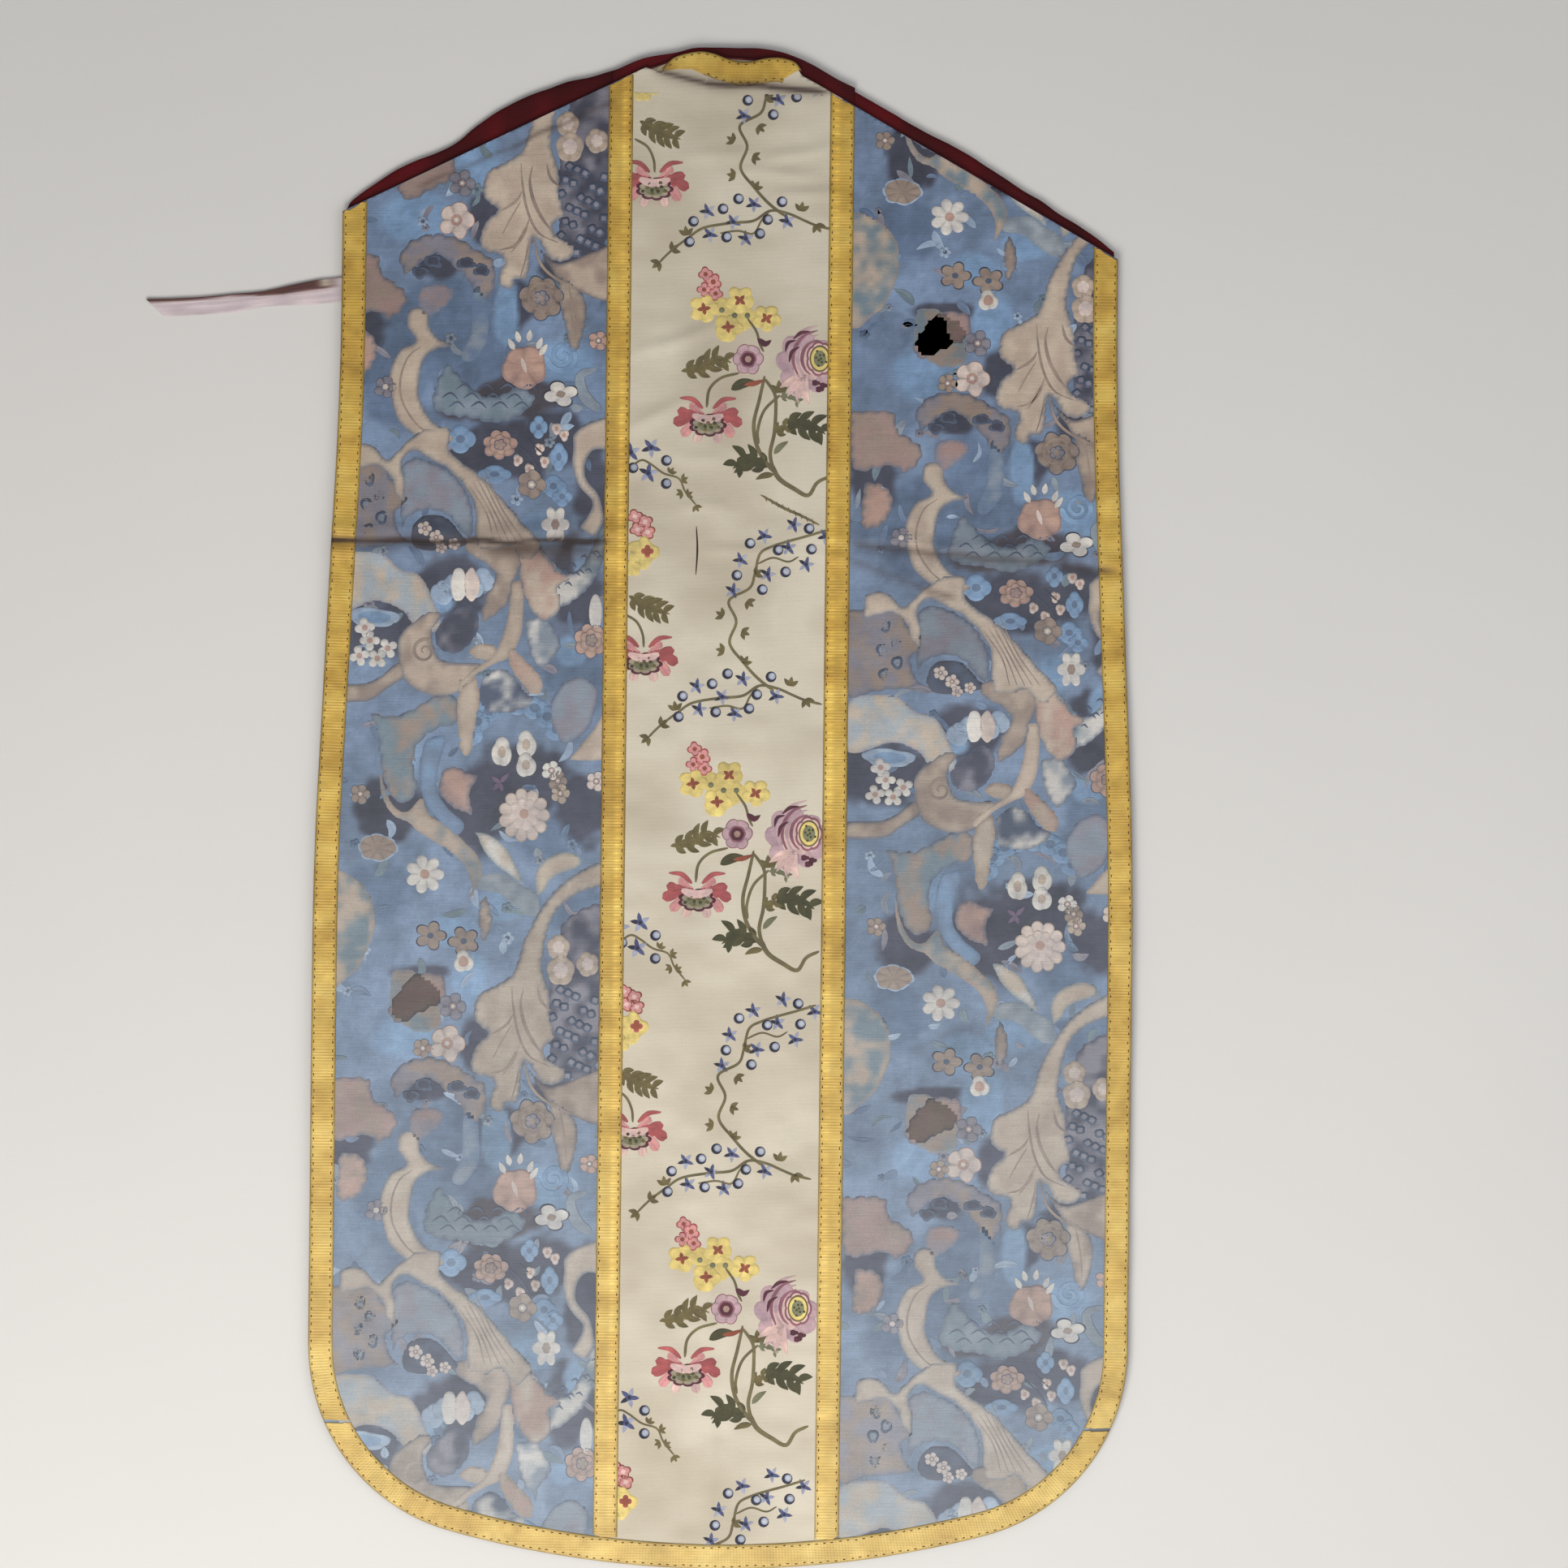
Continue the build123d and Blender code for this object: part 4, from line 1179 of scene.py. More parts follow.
    def lower_scrolls(self) -> None:
        """The flowers and the pale C band at the foot of the repeat."""
        weaver = self.weaver
        weaver.disc((16, 576), (15, 11), [(0.9, Tone.TAUPE), (1.0, Tone.PALE_BLUE)], 8, 0.08, 0.0, 3, 0.1)
        weaver.disc((53, 596), (15, 15), [(0.25, Tone.SALMON), (1.0, Tone.WHITE)], 7, 0.32, 0.0, 3)
        weaver.mass([(-24, 592), (-14, 593), (-3, 599), (8, 608), (14, 622), (14, 643), (5, 665), (-4, 676),
            (-24, 684)], Tone.BEIGE, Tone.TEAL_GREY, Tone.TAUPE, 2, 40, 0.8)
        weaver.disc((84, 21), (8, 9), [(0.5, Tone.SALMON), (1.0, Tone.WHITE)], 3, 0.3, 100.0, 3)
        weaver.mass([(28, 671), (41, 670), (55, 676), (66, 684), (69, 701), (66, 716), (49, 720), (34, 712),
            (26, 704), (26, 686)], Tone.TAUPE, Tone.TEAL_GREY, Tone.BLUE_GREY, 2, 10, 1.4)


@dataclass
class FloralRepeat:
    """One repeat of the flowers on the cream column, measured from its mauve flower's row."""

    weaver: Weaver

    def weave(self) -> None:
        """Work every flower of the repeat."""
        self.yellow_cluster()
        self.mauve_and_rose()
        self.bell_flower((-16.0, 67.0))
        self.stems()
        self.left_sprig()
        self.blue_sprig()
        self.berry_branch()
        self.edge_flowers()

    def star(self, x: float, y: float, size: float = 6.6) -> None:
        """A five-pointed blue flower with a dark eye."""
        turn = self.weaver.random.uniform(0, 72)
        for k in range(5):
            angle = math.radians(turn + 72 * k)
            tip = (x + size * math.cos(angle), y + size * math.sin(angle))
            tone = (Tone.FLOSS_BLUE, Tone.FLOSS_PALE, Tone.INK)[k % 3]
            self.weaver.leaf([(x, y), tip], size * 0.46, tone, Tone.FLOSS_BLUE, 2, 0)
        self.weaver.disc((x, y), (size * 0.3, size * 0.3), [(0.6, Tone.INK), (1.0, Tone.FLOSS_BLUE)], 0,
            level=3)

    def berry(self, x: float, y: float, size: float = 4.2) -> None:
        """A round pale berry with a dark crescent at its lower left."""
        self.weaver.disc((x, y), (size, size), [(1.0, Tone.INK)], 0, level=3)
        self.weaver.disc((x + size * 0.2, y - size * 0.16), (size * 0.68, size * 0.68),
            [(0.6, Tone.BERRY), (1.0, Tone.FLOSS_PALE)], 0, level=4)

    def cut_leaf(self, points: Points, width: float, tone: Tone, lobes: int = 4) -> None:
        """A feathery leaf: a narrow blade with pairs of pointed leaflets that lean to its tip."""
        self.weaver.band(points, (width * 0.5, width * 0.6, width * 0.4), tone, Tone.DARK_GREEN, 2, 1,
            lobes * 2, Outline.LEAF)
        if not self.weaver.faces_up:
            return
        rib = smooth_path(points, 1.0)
        side = normals(rib)
        for share in np.linspace(0.14, 0.86, lobes):
            at = int(share * (len(rib) - 1))
            reach = width * (0.42 + 0.34 * math.sin(math.pi * share))
            ahead = np.array([side[at, 1], -side[at, 0]])
            for turn in (-1.0, 1.0):
                tip = rib[at] + turn * side[at] * reach * 0.85 + ahead * reach * 0.75
                elbow = rib[at] + turn * side[at] * reach * 0.5 + ahead * reach * 0.25
                self.weaver.leaf([tuple(rib[at]), tuple(elbow), tuple(tip)], width * 0.34, tone,
                    Tone.DARK_GREEN, 3)

    def tuft(self, x: float, y: float, tone: Tone = Tone.OLIVE, size: float = 6.0,
            turn: float = 90.0) -> None:
        """A tuft of three little leaves."""
        for lean in (-48, 0, 48):
            angle = math.radians(turn + lean)
            tip = (x + size * math.cos(angle), y - size * math.sin(angle))
            self.weaver.leaf([(x, y), tip], size * 0.5, tone, Tone.DARK_GREEN, 2, 0)

    def yellow_cluster(self) -> None:
        """Yellow flowers with russet hearts under pink florets."""
        weaver = self.weaver
        for x, y, size in ((-19, -48, 6), (-13, -42, 7), (-20, -36, 6), (-11, -33, 6)):
            weaver.disc((x, y), (size, size), [(0.3, Tone.RUSSET), (0.8, Tone.PINK), (1.0, Tone.ROSE)], 4,
                0.45, x * 9, 2)
        weaver.patch((0, -14), (15, 15), Tone.YELLOW, 0, 1)
        for x, y in ((-20, -21), (8, -28), (-1, -7), (29, -14)):
            weaver.disc((x, y), (11.5, 11), [(1.0, Tone.YELLOW)], 5, 0.3, x * 7, 2, 0.1)
            for k in range(4):
                angle = math.radians(x * 5 + 90 * k)
                tip = (x + 5.5 * math.cos(angle), y + 5.0 * math.sin(angle))
                weaver.leaf([(x, y), tip], 3.6, Tone.RUSSET, Tone.ROSE, 3, 0)
        for x, y in ((-6, -20), (14, -16), (4, -16)):
            weaver.disc((x, y), (2.2, 2.2), [(1.0, Tone.SAGE)], level=4)
        weaver.band([(14, -14), (21, -4), (24, 6), (27, 12)], (2, 2), Tone.STEM, Tone.OLIVE, 3)

    def mauve_and_rose(self) -> None:
        """The dark-eyed mauve flower and the rose that the right braid crops."""
        weaver = self.weaver
        self.cut_leaf([(-37, 28), (-22, 25), (-8, 18), (2, 21)], 15, Tone.OLIVE, 5)
        weaver.disc((15, 18), (12, 12), [(0.2, Tone.SALMON), (0.44, Tone.WINE), (0.56, Tone.MAUVE),
            (0.94, Tone.PALE_MAUVE), (1.0, Tone.MAUVE)], 6, 0.14, 0, 3, 0.06)
        weaver.leaf([(22, 2), (28, 6), (33, 3)], 5, Tone.WINE, Tone.WINE, 4, 0)
        weaver.leaf([(2, 42), (11, 37), (22, 36)], 8, Tone.DARK_GREEN, Tone.WINE, 3, 1)
        weaver.leaf([(12, 38), (20, 37), (28, 34)], 4, Tone.RUSSET, Tone.WINE, 4, 0)
        weaver.disc((62, 22), (25, 26), [(0.5, Tone.BLUSH), (1.0, Tone.PALE_MAUVE)], 9, 0.22, 12, 2, 0.2,
            0.16)
        for k, arm in enumerate((14, 17.5, 21, 24.5)):
            points = [(71 + arm * math.cos(math.radians(a)), 17 - 1.05 * arm * math.sin(math.radians(a)))
                      for a in (95, 125, 155, 185, 215, 240 - 8 * k)]
            weaver.band(points, (1.0, 2.6, 3.2, 2.4, 1.0), (Tone.MAUVE, Tone.PALE_MAUVE)[k % 2],
                (Tone.WINE, Tone.MAUVE)[k % 2], 3)
        for points in ([(44, 12), (46, 5), (52, 3)], [(47, 20), (49, 12), (55, 8)],
                [(50, 2), (56, -3), (63, -4)]):
            weaver.band(points, (1.5, 3.2, 1.5), Tone.WINE, Tone.WINE, 4)
        for x, y in ((40, 40), (46, 47), (54, 52), (63, 53)):
            weaver.leaf([(60, 30), ((60 + x) / 2 - 2, (30 + y) / 2), (x, y)], 7, Tone.BLUSH, Tone.PALE_MAUVE,
                3, 1)
        weaver.disc((71, 17), (11, 14), [(0.85, Tone.BLUSH), (1.0, Tone.MAUVE)], 7, 0.1, 0, 4)
        weaver.disc((71, 17), (8, 10.5), [(0.6, Tone.SAGE), (0.85, Tone.YELLOW), (1.0, Tone.OLIVE)], 0,
            level=5)
        for k in range(9):
            angle, arm = 2.4 * k, 0.8 + 0.55 * k
            weaver.disc((71 + arm * math.cos(angle), 17 + 1.4 * arm * math.sin(angle)), (1.0, 1.0),
                [(1.0, Tone.DARK_GREEN)], level=6)
        for x, y in ((74, 38), (68, 36), (71, 41)):
            weaver.disc((x, y), (3.6, 2.4), [(1.0, Tone.WINE)], 3, 0.3, level=5)

    def bell_flower(self, centre: Point) -> None:
        """A hanging pink bell flower, its petals curling up at both sides."""
        weaver = self.weaver
        cx, cy = centre
        for sign in (-1, 1):
            for dx, dy, width, tone in ((14, -14, 7, Tone.PINK), (24, -8, 9, Tone.ROSE),
                    (27, 2, 10, Tone.ROSE), (20, 12, 9, Tone.PINK), (9, 17, 8, Tone.BLUSH)):
                points = [(cx + sign * 3, cy - 5), (cx + sign * dx * 0.6, cy + dy * 0.4 - 3),
                          (cx + sign * dx, cy + dy)]
                weaver.plume(points, width, tone, Tone.ROSE, 2, 1, 2)
            weaver.band([(cx + sign * 4, cy - 10), (cx + sign * 12, cy - 17), (cx + sign * 22, cy - 18)],
                (3, 4, 2), Tone.ROSE, Tone.WINE, 3)
        weaver.disc((cx, cy + 3), (15, 9), [(0.55, Tone.SAGE), (0.8, Tone.CREAM_SHADE), (1.0, Tone.WINE)], 9,
            0.16, 0, 4)
        for k in range(11):
            angle = 2.4 * k
            arm = 1.8 + 0.9 * k
            weaver.disc((cx + arm * math.cos(angle), cy + 3 + arm * 0.5 * math.sin(angle)), (1.5, 1.4),
                [(1.0, Tone.DARK_GREEN if k % 2 else Tone.OLIVE)], level=5)
        weaver.band([(cx - 12, cy - 5), (cx - 4, cy - 2), (cx + 4, cy - 2), (cx + 12, cy - 5)], (5, 7, 7, 5),
            Tone.BLUSH, Tone.PINK, 5)

    def stems(self) -> None:
        """The stems of the main bouquet, and their leaves."""
        band, leaf = self.weaver.band, self.weaver.leaf
        band([(8, 29), (-6, 33), (-15, 42), (-17, 56)], (2, 2.4), Tone.STEM, Tone.OLIVE, 3)
        band([(28, 31), (24, 50), (20, 68), (22, 84), (28, 96), (36, 106)], (2.4, 3, 3.4), Tone.STEM,
             Tone.OLIVE, 3)
        band([(28, 33), (36, 45), (37, 58), (36, 76), (33, 92), (36, 106)], (2.4, 2.8, 3), Tone.STEM,
             Tone.OLIVE, 4)
        band([(40, 46), (28, 58), (23, 74), (24, 84)], (2.2, 2.4), Tone.STEM, Tone.OLIVE, 4)
        band([(34, 100), (40, 111), (52, 119), (63, 124), (70, 114), (80, 109)], (4, 3.6, 3, 2.4), Tone.STEM,
             Tone.OLIVE, 5)
        self.tuft(40, 44, Tone.OLIVE, 10, 95)
        self.cut_leaf([(40, 47), (48, 47), (56, 52)], 8, Tone.SAGE, 2)
        self.cut_leaf([(37, 75), (42, 72), (46, 70)], 12, Tone.OLIVE, 2)
        self.cut_leaf([(44, 66), (54, 68), (66, 70), (76, 76)], 18, Tone.DARK_GREEN, 4)
        leaf([(36, 92), (41, 86), (47, 82)], 5, Tone.SAGE, Tone.OLIVE, 3, 0)
        self.cut_leaf([(32, 102), (22, 98), (12, 96), (4, 104)], 17, Tone.DARK_GREEN, 4)
        leaf([(36, 108), (28, 109), (22, 112)], 5, Tone.OLIVE, Tone.DARK_GREEN, 3, 0)

    def left_sprig(self) -> None:
        """The blue sprig that grows in from the left braid."""
        for x, y in ((-60, 88), (-62, 108), (-76, 92)):
            self.star(x, y, 8.0)
        for x, y in ((-48, 98), (-48, 116), (-74, 104)):
            self.berry(x, y)
        self.weaver.band([(-78, 106), (-68, 98), (-60, 101), (-50, 108), (-38, 112), (-33, 122), (-24, 133)],
            (1.8, 1.4), Tone.STEM, Tone.OLIVE, 2)
        for x, y, turn in ((-45, 108, 60), (-36, 113, 20), (-35, 123, 200), (-25, 133, 300), (-32, 125, 30)):
            self.tuft(x, y, Tone.OLIVE, 5.5, turn)

    def blue_sprig(self) -> None:
        """The tall sprig of blue stars and berries."""
        self.weaver.band([(78, 151), (62, 156), (48, 160), (36, 164), (26, 170), (22, 186), (18, 197),
            (2, 207), (8, 223), (3, 240), (14, 255), (25, 267), (38, 277)], (2, 2.4), Tone.STEM, Tone.OLIVE,
            2)
        self.weaver.band([(24, 178), (36, 173), (48, 176), (56, 172)], (1.6, 1.4), Tone.STEM, Tone.OLIVE, 2)
        for x, y in ((52, 147), (29, 156), (11, 175), (5, 199), (32, 186), (48, 165), (62, 178), (77, 156)):
            self.star(x, y)
        for x, y in ((64, 150), (18, 162), (40, 167), (66, 166), (46, 184), (8, 187), (28, 198)):
            self.berry(x, y)
        for x, y, turn in ((16, 207, 320), (-2, 219, 150), (12, 231, 340), (-1, 246, 170), (14, 256, 60),
                (22, 186, 30)):
            self.tuft(x, y, Tone.OLIVE, 7, turn)

    def berry_branch(self) -> None:
        """The branch of berries and stars across the column."""
        self.weaver.band([(-56, -56), (-46, -66), (-33, -76), (-21, -84), (0, -88), (18, -90), (31, -98),
            (45, -96), (57, -91), (67, -87), (80, -84)], (1.8, 2.2, 2), Tone.STEM, Tone.OLIVE, 2)
        self.weaver.band([(-8, -80), (6, -82), (18, -80), (24, -90), (30, -97)], (1.6, 1.6), Tone.STEM,
            Tone.OLIVE, 2)
        for x, y in ((-18, -97), (18, -103), (2, -89), (44, -90), (12, -76), (-16, -79)):
            self.star(x, y)
        for x, y in ((6, -107), (-6, -99), (-29, -89), (40, -105), (29, -91), (23, -80), (-3, -77),
                (-32, -73)):
            self.berry(x, y)
        for x, y, turn in ((55, -98, 80), (67, -88, 300), (-46, -66, 40), (-34, -78, 100), (-55, -57, 220)):
            self.tuft(x, y, Tone.OLIVE, 7.5, turn)

    def edge_flowers(self) -> None:
        """The cropped pink and yellow blooms, leaf and bell flower at the left braid."""
        weaver = self.weaver
        for x, y in ((-72, 142), (-64, 146), (-70, 152), (-62, 154)):
            weaver.disc((x, y), (6.5, 6), [(0.3, Tone.BLUSH), (0.8, Tone.PINK), (1.0, Tone.RUSSET)], 4, 0.4,
                x, 2)
        weaver.disc((-66, 170), (13, 13), [(1.0, Tone.YELLOW)], 5, 0.3, 0, 2, 0.15)
        weaver.disc((-62, 169), (5, 5), [(0.7, Tone.RUSSET), (1.0, Tone.ROSE)], 4, 0.4, 0, 3)
        weaver.disc((-74, 182), (8, 7), [(1.0, Tone.YELLOW)], 5, 0.3, 20, 2)
        self.cut_leaf([(-76, 204), (-66, 210), (-56, 214), (-44, 218)], 15, Tone.OLIVE, 5)
        weaver.band([(-80, 218), (-70, 224), (-65, 234), (-64, 244)], (2, 2), Tone.STEM, Tone.OLIVE, 3)
        self.bell_flower((-64.0, 254.0))


GROUND_AREAS = {Tone.STEEL: ((30, 205, 34, 44), (150, 560, 34, 30), (20, 610, 26, 26), (170, 620, 30, 20),
    (110, 350, 30, 24), (172, 440, 24, 34), (80, 200, 44, 50), (70, 150, 36, 20)),
    Tone.NAVY: ((94, 82, 14, 22), (118, 152, 16, 18), (155, 122, 20, 12), (58, 119, 16, 12),
    (115, 265, 44, 22), (152, 255, 26, 22), (25, 545, 22, 26), (125, 522, 40, 26), (50, 30, 30, 8),
    (72, 372, 34, 26), (8, 408, 40, 28), (170, 372, 22, 36), (182, 285, 14, 44), (92, 545, 30, 34),
    (176, 545, 22, 30), (-4, 165, 20, 24)), Tone.SKY: ((152, 194, 26, 18), (40, 82, 30, 20),
    (88, 38, 18, 24), (112, 158, 10, 24), (170, 8, 14, 14), (142, 326, 16, 13), (166, 420, 12, 11),
    (60, 385, 14, 8), (36, 500, 14, 24), (112, 620, 22, 12), (74, 640, 22, 14), (176, 350, 10, 18)),
    Tone.CHARCOAL: ((170, 60, 20, 26), (120, 222, 30, 14), (88, 230, 30, 12)),}
LEFT_REPEAT = (((-286.0, 544.0), (-286.0, -99.0)), 1.0)
RIGHT_REPEAT = (((118.0, 1035.0), (118.0, 421.0), (118.0, -193.0)), 0.955)

YOKE = Yoke()


@dataclass
class Stitching:
    """Short stitches of thread that stand on the cloth."""

    length: float = 2.4
    width: float = 0.75
    pitch: float = 6.3
    parts: MeshParts = field(default_factory=MeshParts)

    def sew(self, places: np.ndarray, headings: np.ndarray, heights: np.ndarray, tone: Tone,
            length: float | None = None) -> None:
        """Lay one stitch at each place.

        Args:
            places: (n, 2) middles of the stitches.
            headings: (n, 2) unit directions.
            heights: (n,) heights of the cloth under them.
            tone: the colour of the thread.
            length: the length of a stitch, where it differs.
        """
        along = np.array([-0.5, -0.32, 0.0, 0.32, 0.5]) * (length or self.length)
        girth = np.array([0.3, 0.9, 1.0, 0.9, 0.3]) * self.width / 2
        rise = np.array([-0.25, 0.1, 0.3, 0.1, -0.25]) * self.width
        angle = np.linspace(0.0, 2 * np.pi, 6, endpoint=False)
        aside = np.stack([-headings[:, 1], headings[:, 0]], axis=1)
        count, rings, around = len(places), len(along), len(angle)
        flat = (places[:, None, None, :] + headings[:, None, None, :] * along[None, :, None, None]
                + aside[:, None, None, :] * (girth[:, None] * np.cos(angle))[None, :, :, None])
        up = heights[:, None, None] + (rise[:, None] + girth[:, None] * np.sin(angle))[None]
        points = np.concatenate([flat, up[..., None]], axis=3).reshape(-1, 3)
        tube = grid_faces(rings, around, wrap=True)
        last = (rings - 1) * around
        caps = np.array([[0, 5, 4, 1], [1, 4, 3, 2], [last, last + 1, last + 4, last + 5],
            [last + 1, last + 2, last + 3, last + 4]])
        one = np.concatenate([tube, caps])
        faces = (one[None] + (np.arange(count) * rings * around)[:, None, None]).reshape(-1, 4)
        self.parts.add(points, faces, srgb(tone)[None, :])

    def run(self, line: np.ndarray, height: Callable[[np.ndarray, np.ndarray], np.ndarray],
            tone: Tone, seed: int) -> None:
        """Sew running stitches along a line."""
        places = evenly(line, self.pitch)
        headings = np.gradient(places, axis=0)
        headings /= np.linalg.norm(headings, axis=1, keepdims=True)
        jitter = np.random.RandomState(SEED + seed).uniform(-0.5, 0.5, (len(places), 2))
        places = (places + jitter)[1:-1]
        self.sew(places, headings[1:-1], height(places[:, 0], places[:, 1]), tone)


@dataclass
class Panel:
    """One panel of the garment: its cut, levels and relief, and how its pieces are held."""

    cut: PanelCut
    levels: Levels
    relief: Relief
    cell: float
    bends: bool
    braid_row: float
    column_top: float
    mitre_y: float
    seam_x: float = 86.5
    column_half: float = 77.0
    braid_width: float = 19.0
    interlining_setback: float = 3.0
    lining_setback: float = 1.5
    rib_pitch: float = 2.4
    rib_height: float = 0.10
    repeats: tuple = (LEFT_REPEAT, RIGHT_REPEAT)
    stitching: Stitching = field(default_factory=Stitching)

    def soil_and_shade(self, x: np.ndarray, y: np.ndarray) -> np.ndarray:
        """How far the colour at each place is darkened by dirt and painted shade, from 0 to 1."""
        return np.zeros(np.shape(x))

    def fade(self, y: np.ndarray) -> np.ndarray:
        """How far the colours are mixed toward a pale haze at each height, more towards the hem."""
        return np.clip((330.0 - y) / 900.0, 0.0, 1.0) * 0.46

    def attach(self, piece: bpy.types.Object, slot: str, *nodes: str) -> bpy.types.Object:
        """Fix a finished piece in place, on the front body unless the panel bends, and hide the nodes it
        stands for.
        """
        if self.bends:
            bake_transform(piece)
        else:
            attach(piece, "front")
        if nodes:
            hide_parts(*nodes)
        return piece

    def soiled_and_shaded(self, colours: np.ndarray, x: np.ndarray, y: np.ndarray) -> np.ndarray:
        """Colours with the dirt and painted shade at their places mixed in."""
        share = self.soil_and_shade(x, y)[..., None]
        return colours * (1 - share) + srgb(Tone.SOIL_AND_SHADE) * share

    def cloth(self, layer: str, outline: np.ndarray, low_x: float, high_x: float, finish: Finish,
              slot: str, cell: float, dye: Callable[[np.ndarray, np.ndarray], np.ndarray]) -> bpy.types.Object:
        """Args:
            layer: the layer's name, as in its CAD node.
            outline: the closed outline it is cut to.
            low_x: where it ends on the left.
            high_x: where it ends on the right.
            finish: its finish.
            slot: its material slot; not used.
            cell: the size of its mesh cells.
            dye: gives its sRGB colours.

        Returns:
            The piece.
        """
        low_y, high_y = outline[:, 1].min(), outline[:, 1].max()
        places, quads, _ = clipped_grid(outline, (low_x, low_y), (high_x, high_y), cell)
        x, y = places[:, 0], places[:, 1]
        bottom, top = self.levels.span(layer)
        rise = self.relief.at(x, y)
        parts = MeshParts()
        parts.slab(places, quads, top + rise, bottom + rise, self.soiled_and_shaded(dye(x, y), x, y))
        prefix = self.levels.prefix
        piece = parts.build(f"{prefix}_{layer}_cloth", finish)
        self.attach(piece, slot, f"{prefix}_{layer}")
        return piece

    def brocade_dye(self, x: np.ndarray, y: np.ndarray) -> np.ndarray:
        """The brocade's ground: clear blue with soft darker, greyer and brighter areas."""
        drift = 0.7 * noise(x, y, 46.0, 61) + 0.5 * noise(x, y, 17.0, 62) + 0.3 * noise(x, y, 6.0, 64)
        colours = srgb(Tone.LILAC_BLUE) * np.ones((len(x), 1))
        origins, scale = self.repeats[0] if np.mean(x) < 0 else self.repeats[1]
        for tone, places in GROUND_AREAS.items():
            share = np.zeros(len(x))
            for u, v, wide, high in places:
                for left, top in origins:
                    away = np.hypot((x - left - u) / wide, (y - top + v * scale) / high) + 0.35 * drift
                    share = np.maximum(share, np.clip((1.15 - away) / 0.3, 0.0, 1.0))
            colours = colours * (1 - share[:, None]) + srgb(tone) * share[:, None]
        colours = colours * (1.0 + 0.16 * drift + 0.05 * noise(x, y, 3.0, 63))[:, None]
        haze = self.fade(y)[:, None]
        return colours * (1 - haze) + srgb(Tone.HAZE) * haze

    def silk_dye(self, x: np.ndarray, y: np.ndarray) -> np.ndarray:
        """The cream silk: a little darker in broad patches."""
        share = np.clip(0.22 + 0.3 * noise(x, y, 60.0, 71) + 0.16 * noise(x, y * 2, 24.0, 72), 0, 1)
        share = share[:, None]
        return srgb(Tone.CREAM) * (1 - share) + srgb(Tone.CREAM_SHADE) * share

    def plain_dye(self, tone: Tone, seed: int) -> Callable[[np.ndarray, np.ndarray], np.ndarray]:
        """A dye of one tone with soft patches."""
        def dye(x: np.ndarray, y: np.ndarray) -> np.ndarray:
            """Colours at each place."""
            return srgb(tone) * (1.0 + 0.08 * noise(x, y, 34.0, seed) + 0.04 * noise(x, y, 7.0,
                seed))[:, None]
        return dye

    def weaver(self, low_x: float, high_x: float, layer: str, seed: int, haze: bool) -> Weaver:
        """A weaver for the part of the face between two seams."""
        def keep(x: np.ndarray, y: np.ndarray) -> np.ndarray:
            """Whether a place shows inside the braids."""
            return self.cut.covers(x, y, self.braid_width - 6.0) & (x > low_x) & (x < high_x)

        return Weaver(self.relief, self.levels.show(layer), self.levels.faces_up, keep,
            lambda x: self.cut.yoke.shoulder(x) - 0.4, self.fade if haze else lambda y: 0.0 * y, Tone.HAZE,
            seed=seed, detail=1.0 if self.levels.faces_up else 0.6)

    def brocade(self, side: str) -> None:
        """One side's brocade and the figures woven in it; side is left or right."""
        sign = -1 if side == "left" else 1
        reach = self.cut.half_width + 4.0
        low_x, high_x = sorted((sign * self.seam_x, sign * reach))
        edge = 5.0
        weaver = self.weaver(low_x + (0 if sign < 0 else edge), high_x - (edge if sign < 0 else 0),
            f"brocade_{side}", 20 + sign, True)
        origins, scale = self.repeats[0 if sign < 0 else 1]
        for origin in origins:
            weaver.origin = origin
            weaver.stretch = (1.0, -scale)
            BrocadeRepeat(weaver).weave()
        self.finish_figures(weaver, f"brocade_{side}", BROCADE, "blue_brocade", low_x, high_x,
            self.brocade_dye)

    def finish_figures(self, weaver: Weaver, layer: str, finish: Finish, slot: str, low_x: float,
            high_x: float, dye: Callable[[np.ndarray, np.ndarray], np.ndarray],
            figure_finish: Finish | None = None) -> None:
        """Build the figures, then the cloth that they are woven in."""
        # The figures take the same dirt and painted shade as their cloth.
        for k, points in enumerate(weaver.parts.points):
            weaver.parts.colours[k] = self.soiled_and_shaded(weaver.parts.colours[k], points[:, 0], points[:, 1])
        figures = weaver.parts.build(f"{self.levels.prefix}_{layer}_figures", figure_finish or finish)
        self.attach(figures, slot)
        self.cloth(layer, self.silk_outline(), low_x, high_x, finish, slot, self.cell, dye)

    def silk_outline(self) -> np.ndarray:
        """The outline that the silks are cut to."""
        return self.cut.outline()

    def column(self, origins: Sequence[Point]) -> None:
        """The cream column and the flowers brocaded on it."""
        weaver = self.weaver(-self.seam_x, self.seam_x, "orphrey_silk", 30, False)
        weaver.ceiling = lambda x: np.full(np.shape(x), COLUMN_CEILING)
        for origin in origins:
            weaver.origin = origin
            FloralRepeat(weaver).weave()
        self.wear_marks(weaver)
        self.finish_figures(weaver, "orphrey_silk", FLORAL_SILK, "cream_floral_silk", -self.seam_x,
            self.seam_x, self.silk_dye, FLOSS)

    def wear_marks(self, weaver: Weaver) -> None:
        """Marks of wear on the column, where the panel has them."""

    def under_layers(self) -> None:
        """The linen interlining and the crimson lining."""
        reach = self.cut.half_width + 4.0
        self.cloth("interlining", self.cut.outline(self.interlining_setback), -reach, reach, LINEN,
            "linen_interlining", self.cell * 2.4, self.plain_dye(Tone.LINEN, 81))
        self.cloth("lining", self.cut.outline(self.lining_setback), -reach, reach, LINING, "crimson_lining",
            self.cell * 1.6, self.plain_dye(Tone.CRIMSON, 82))

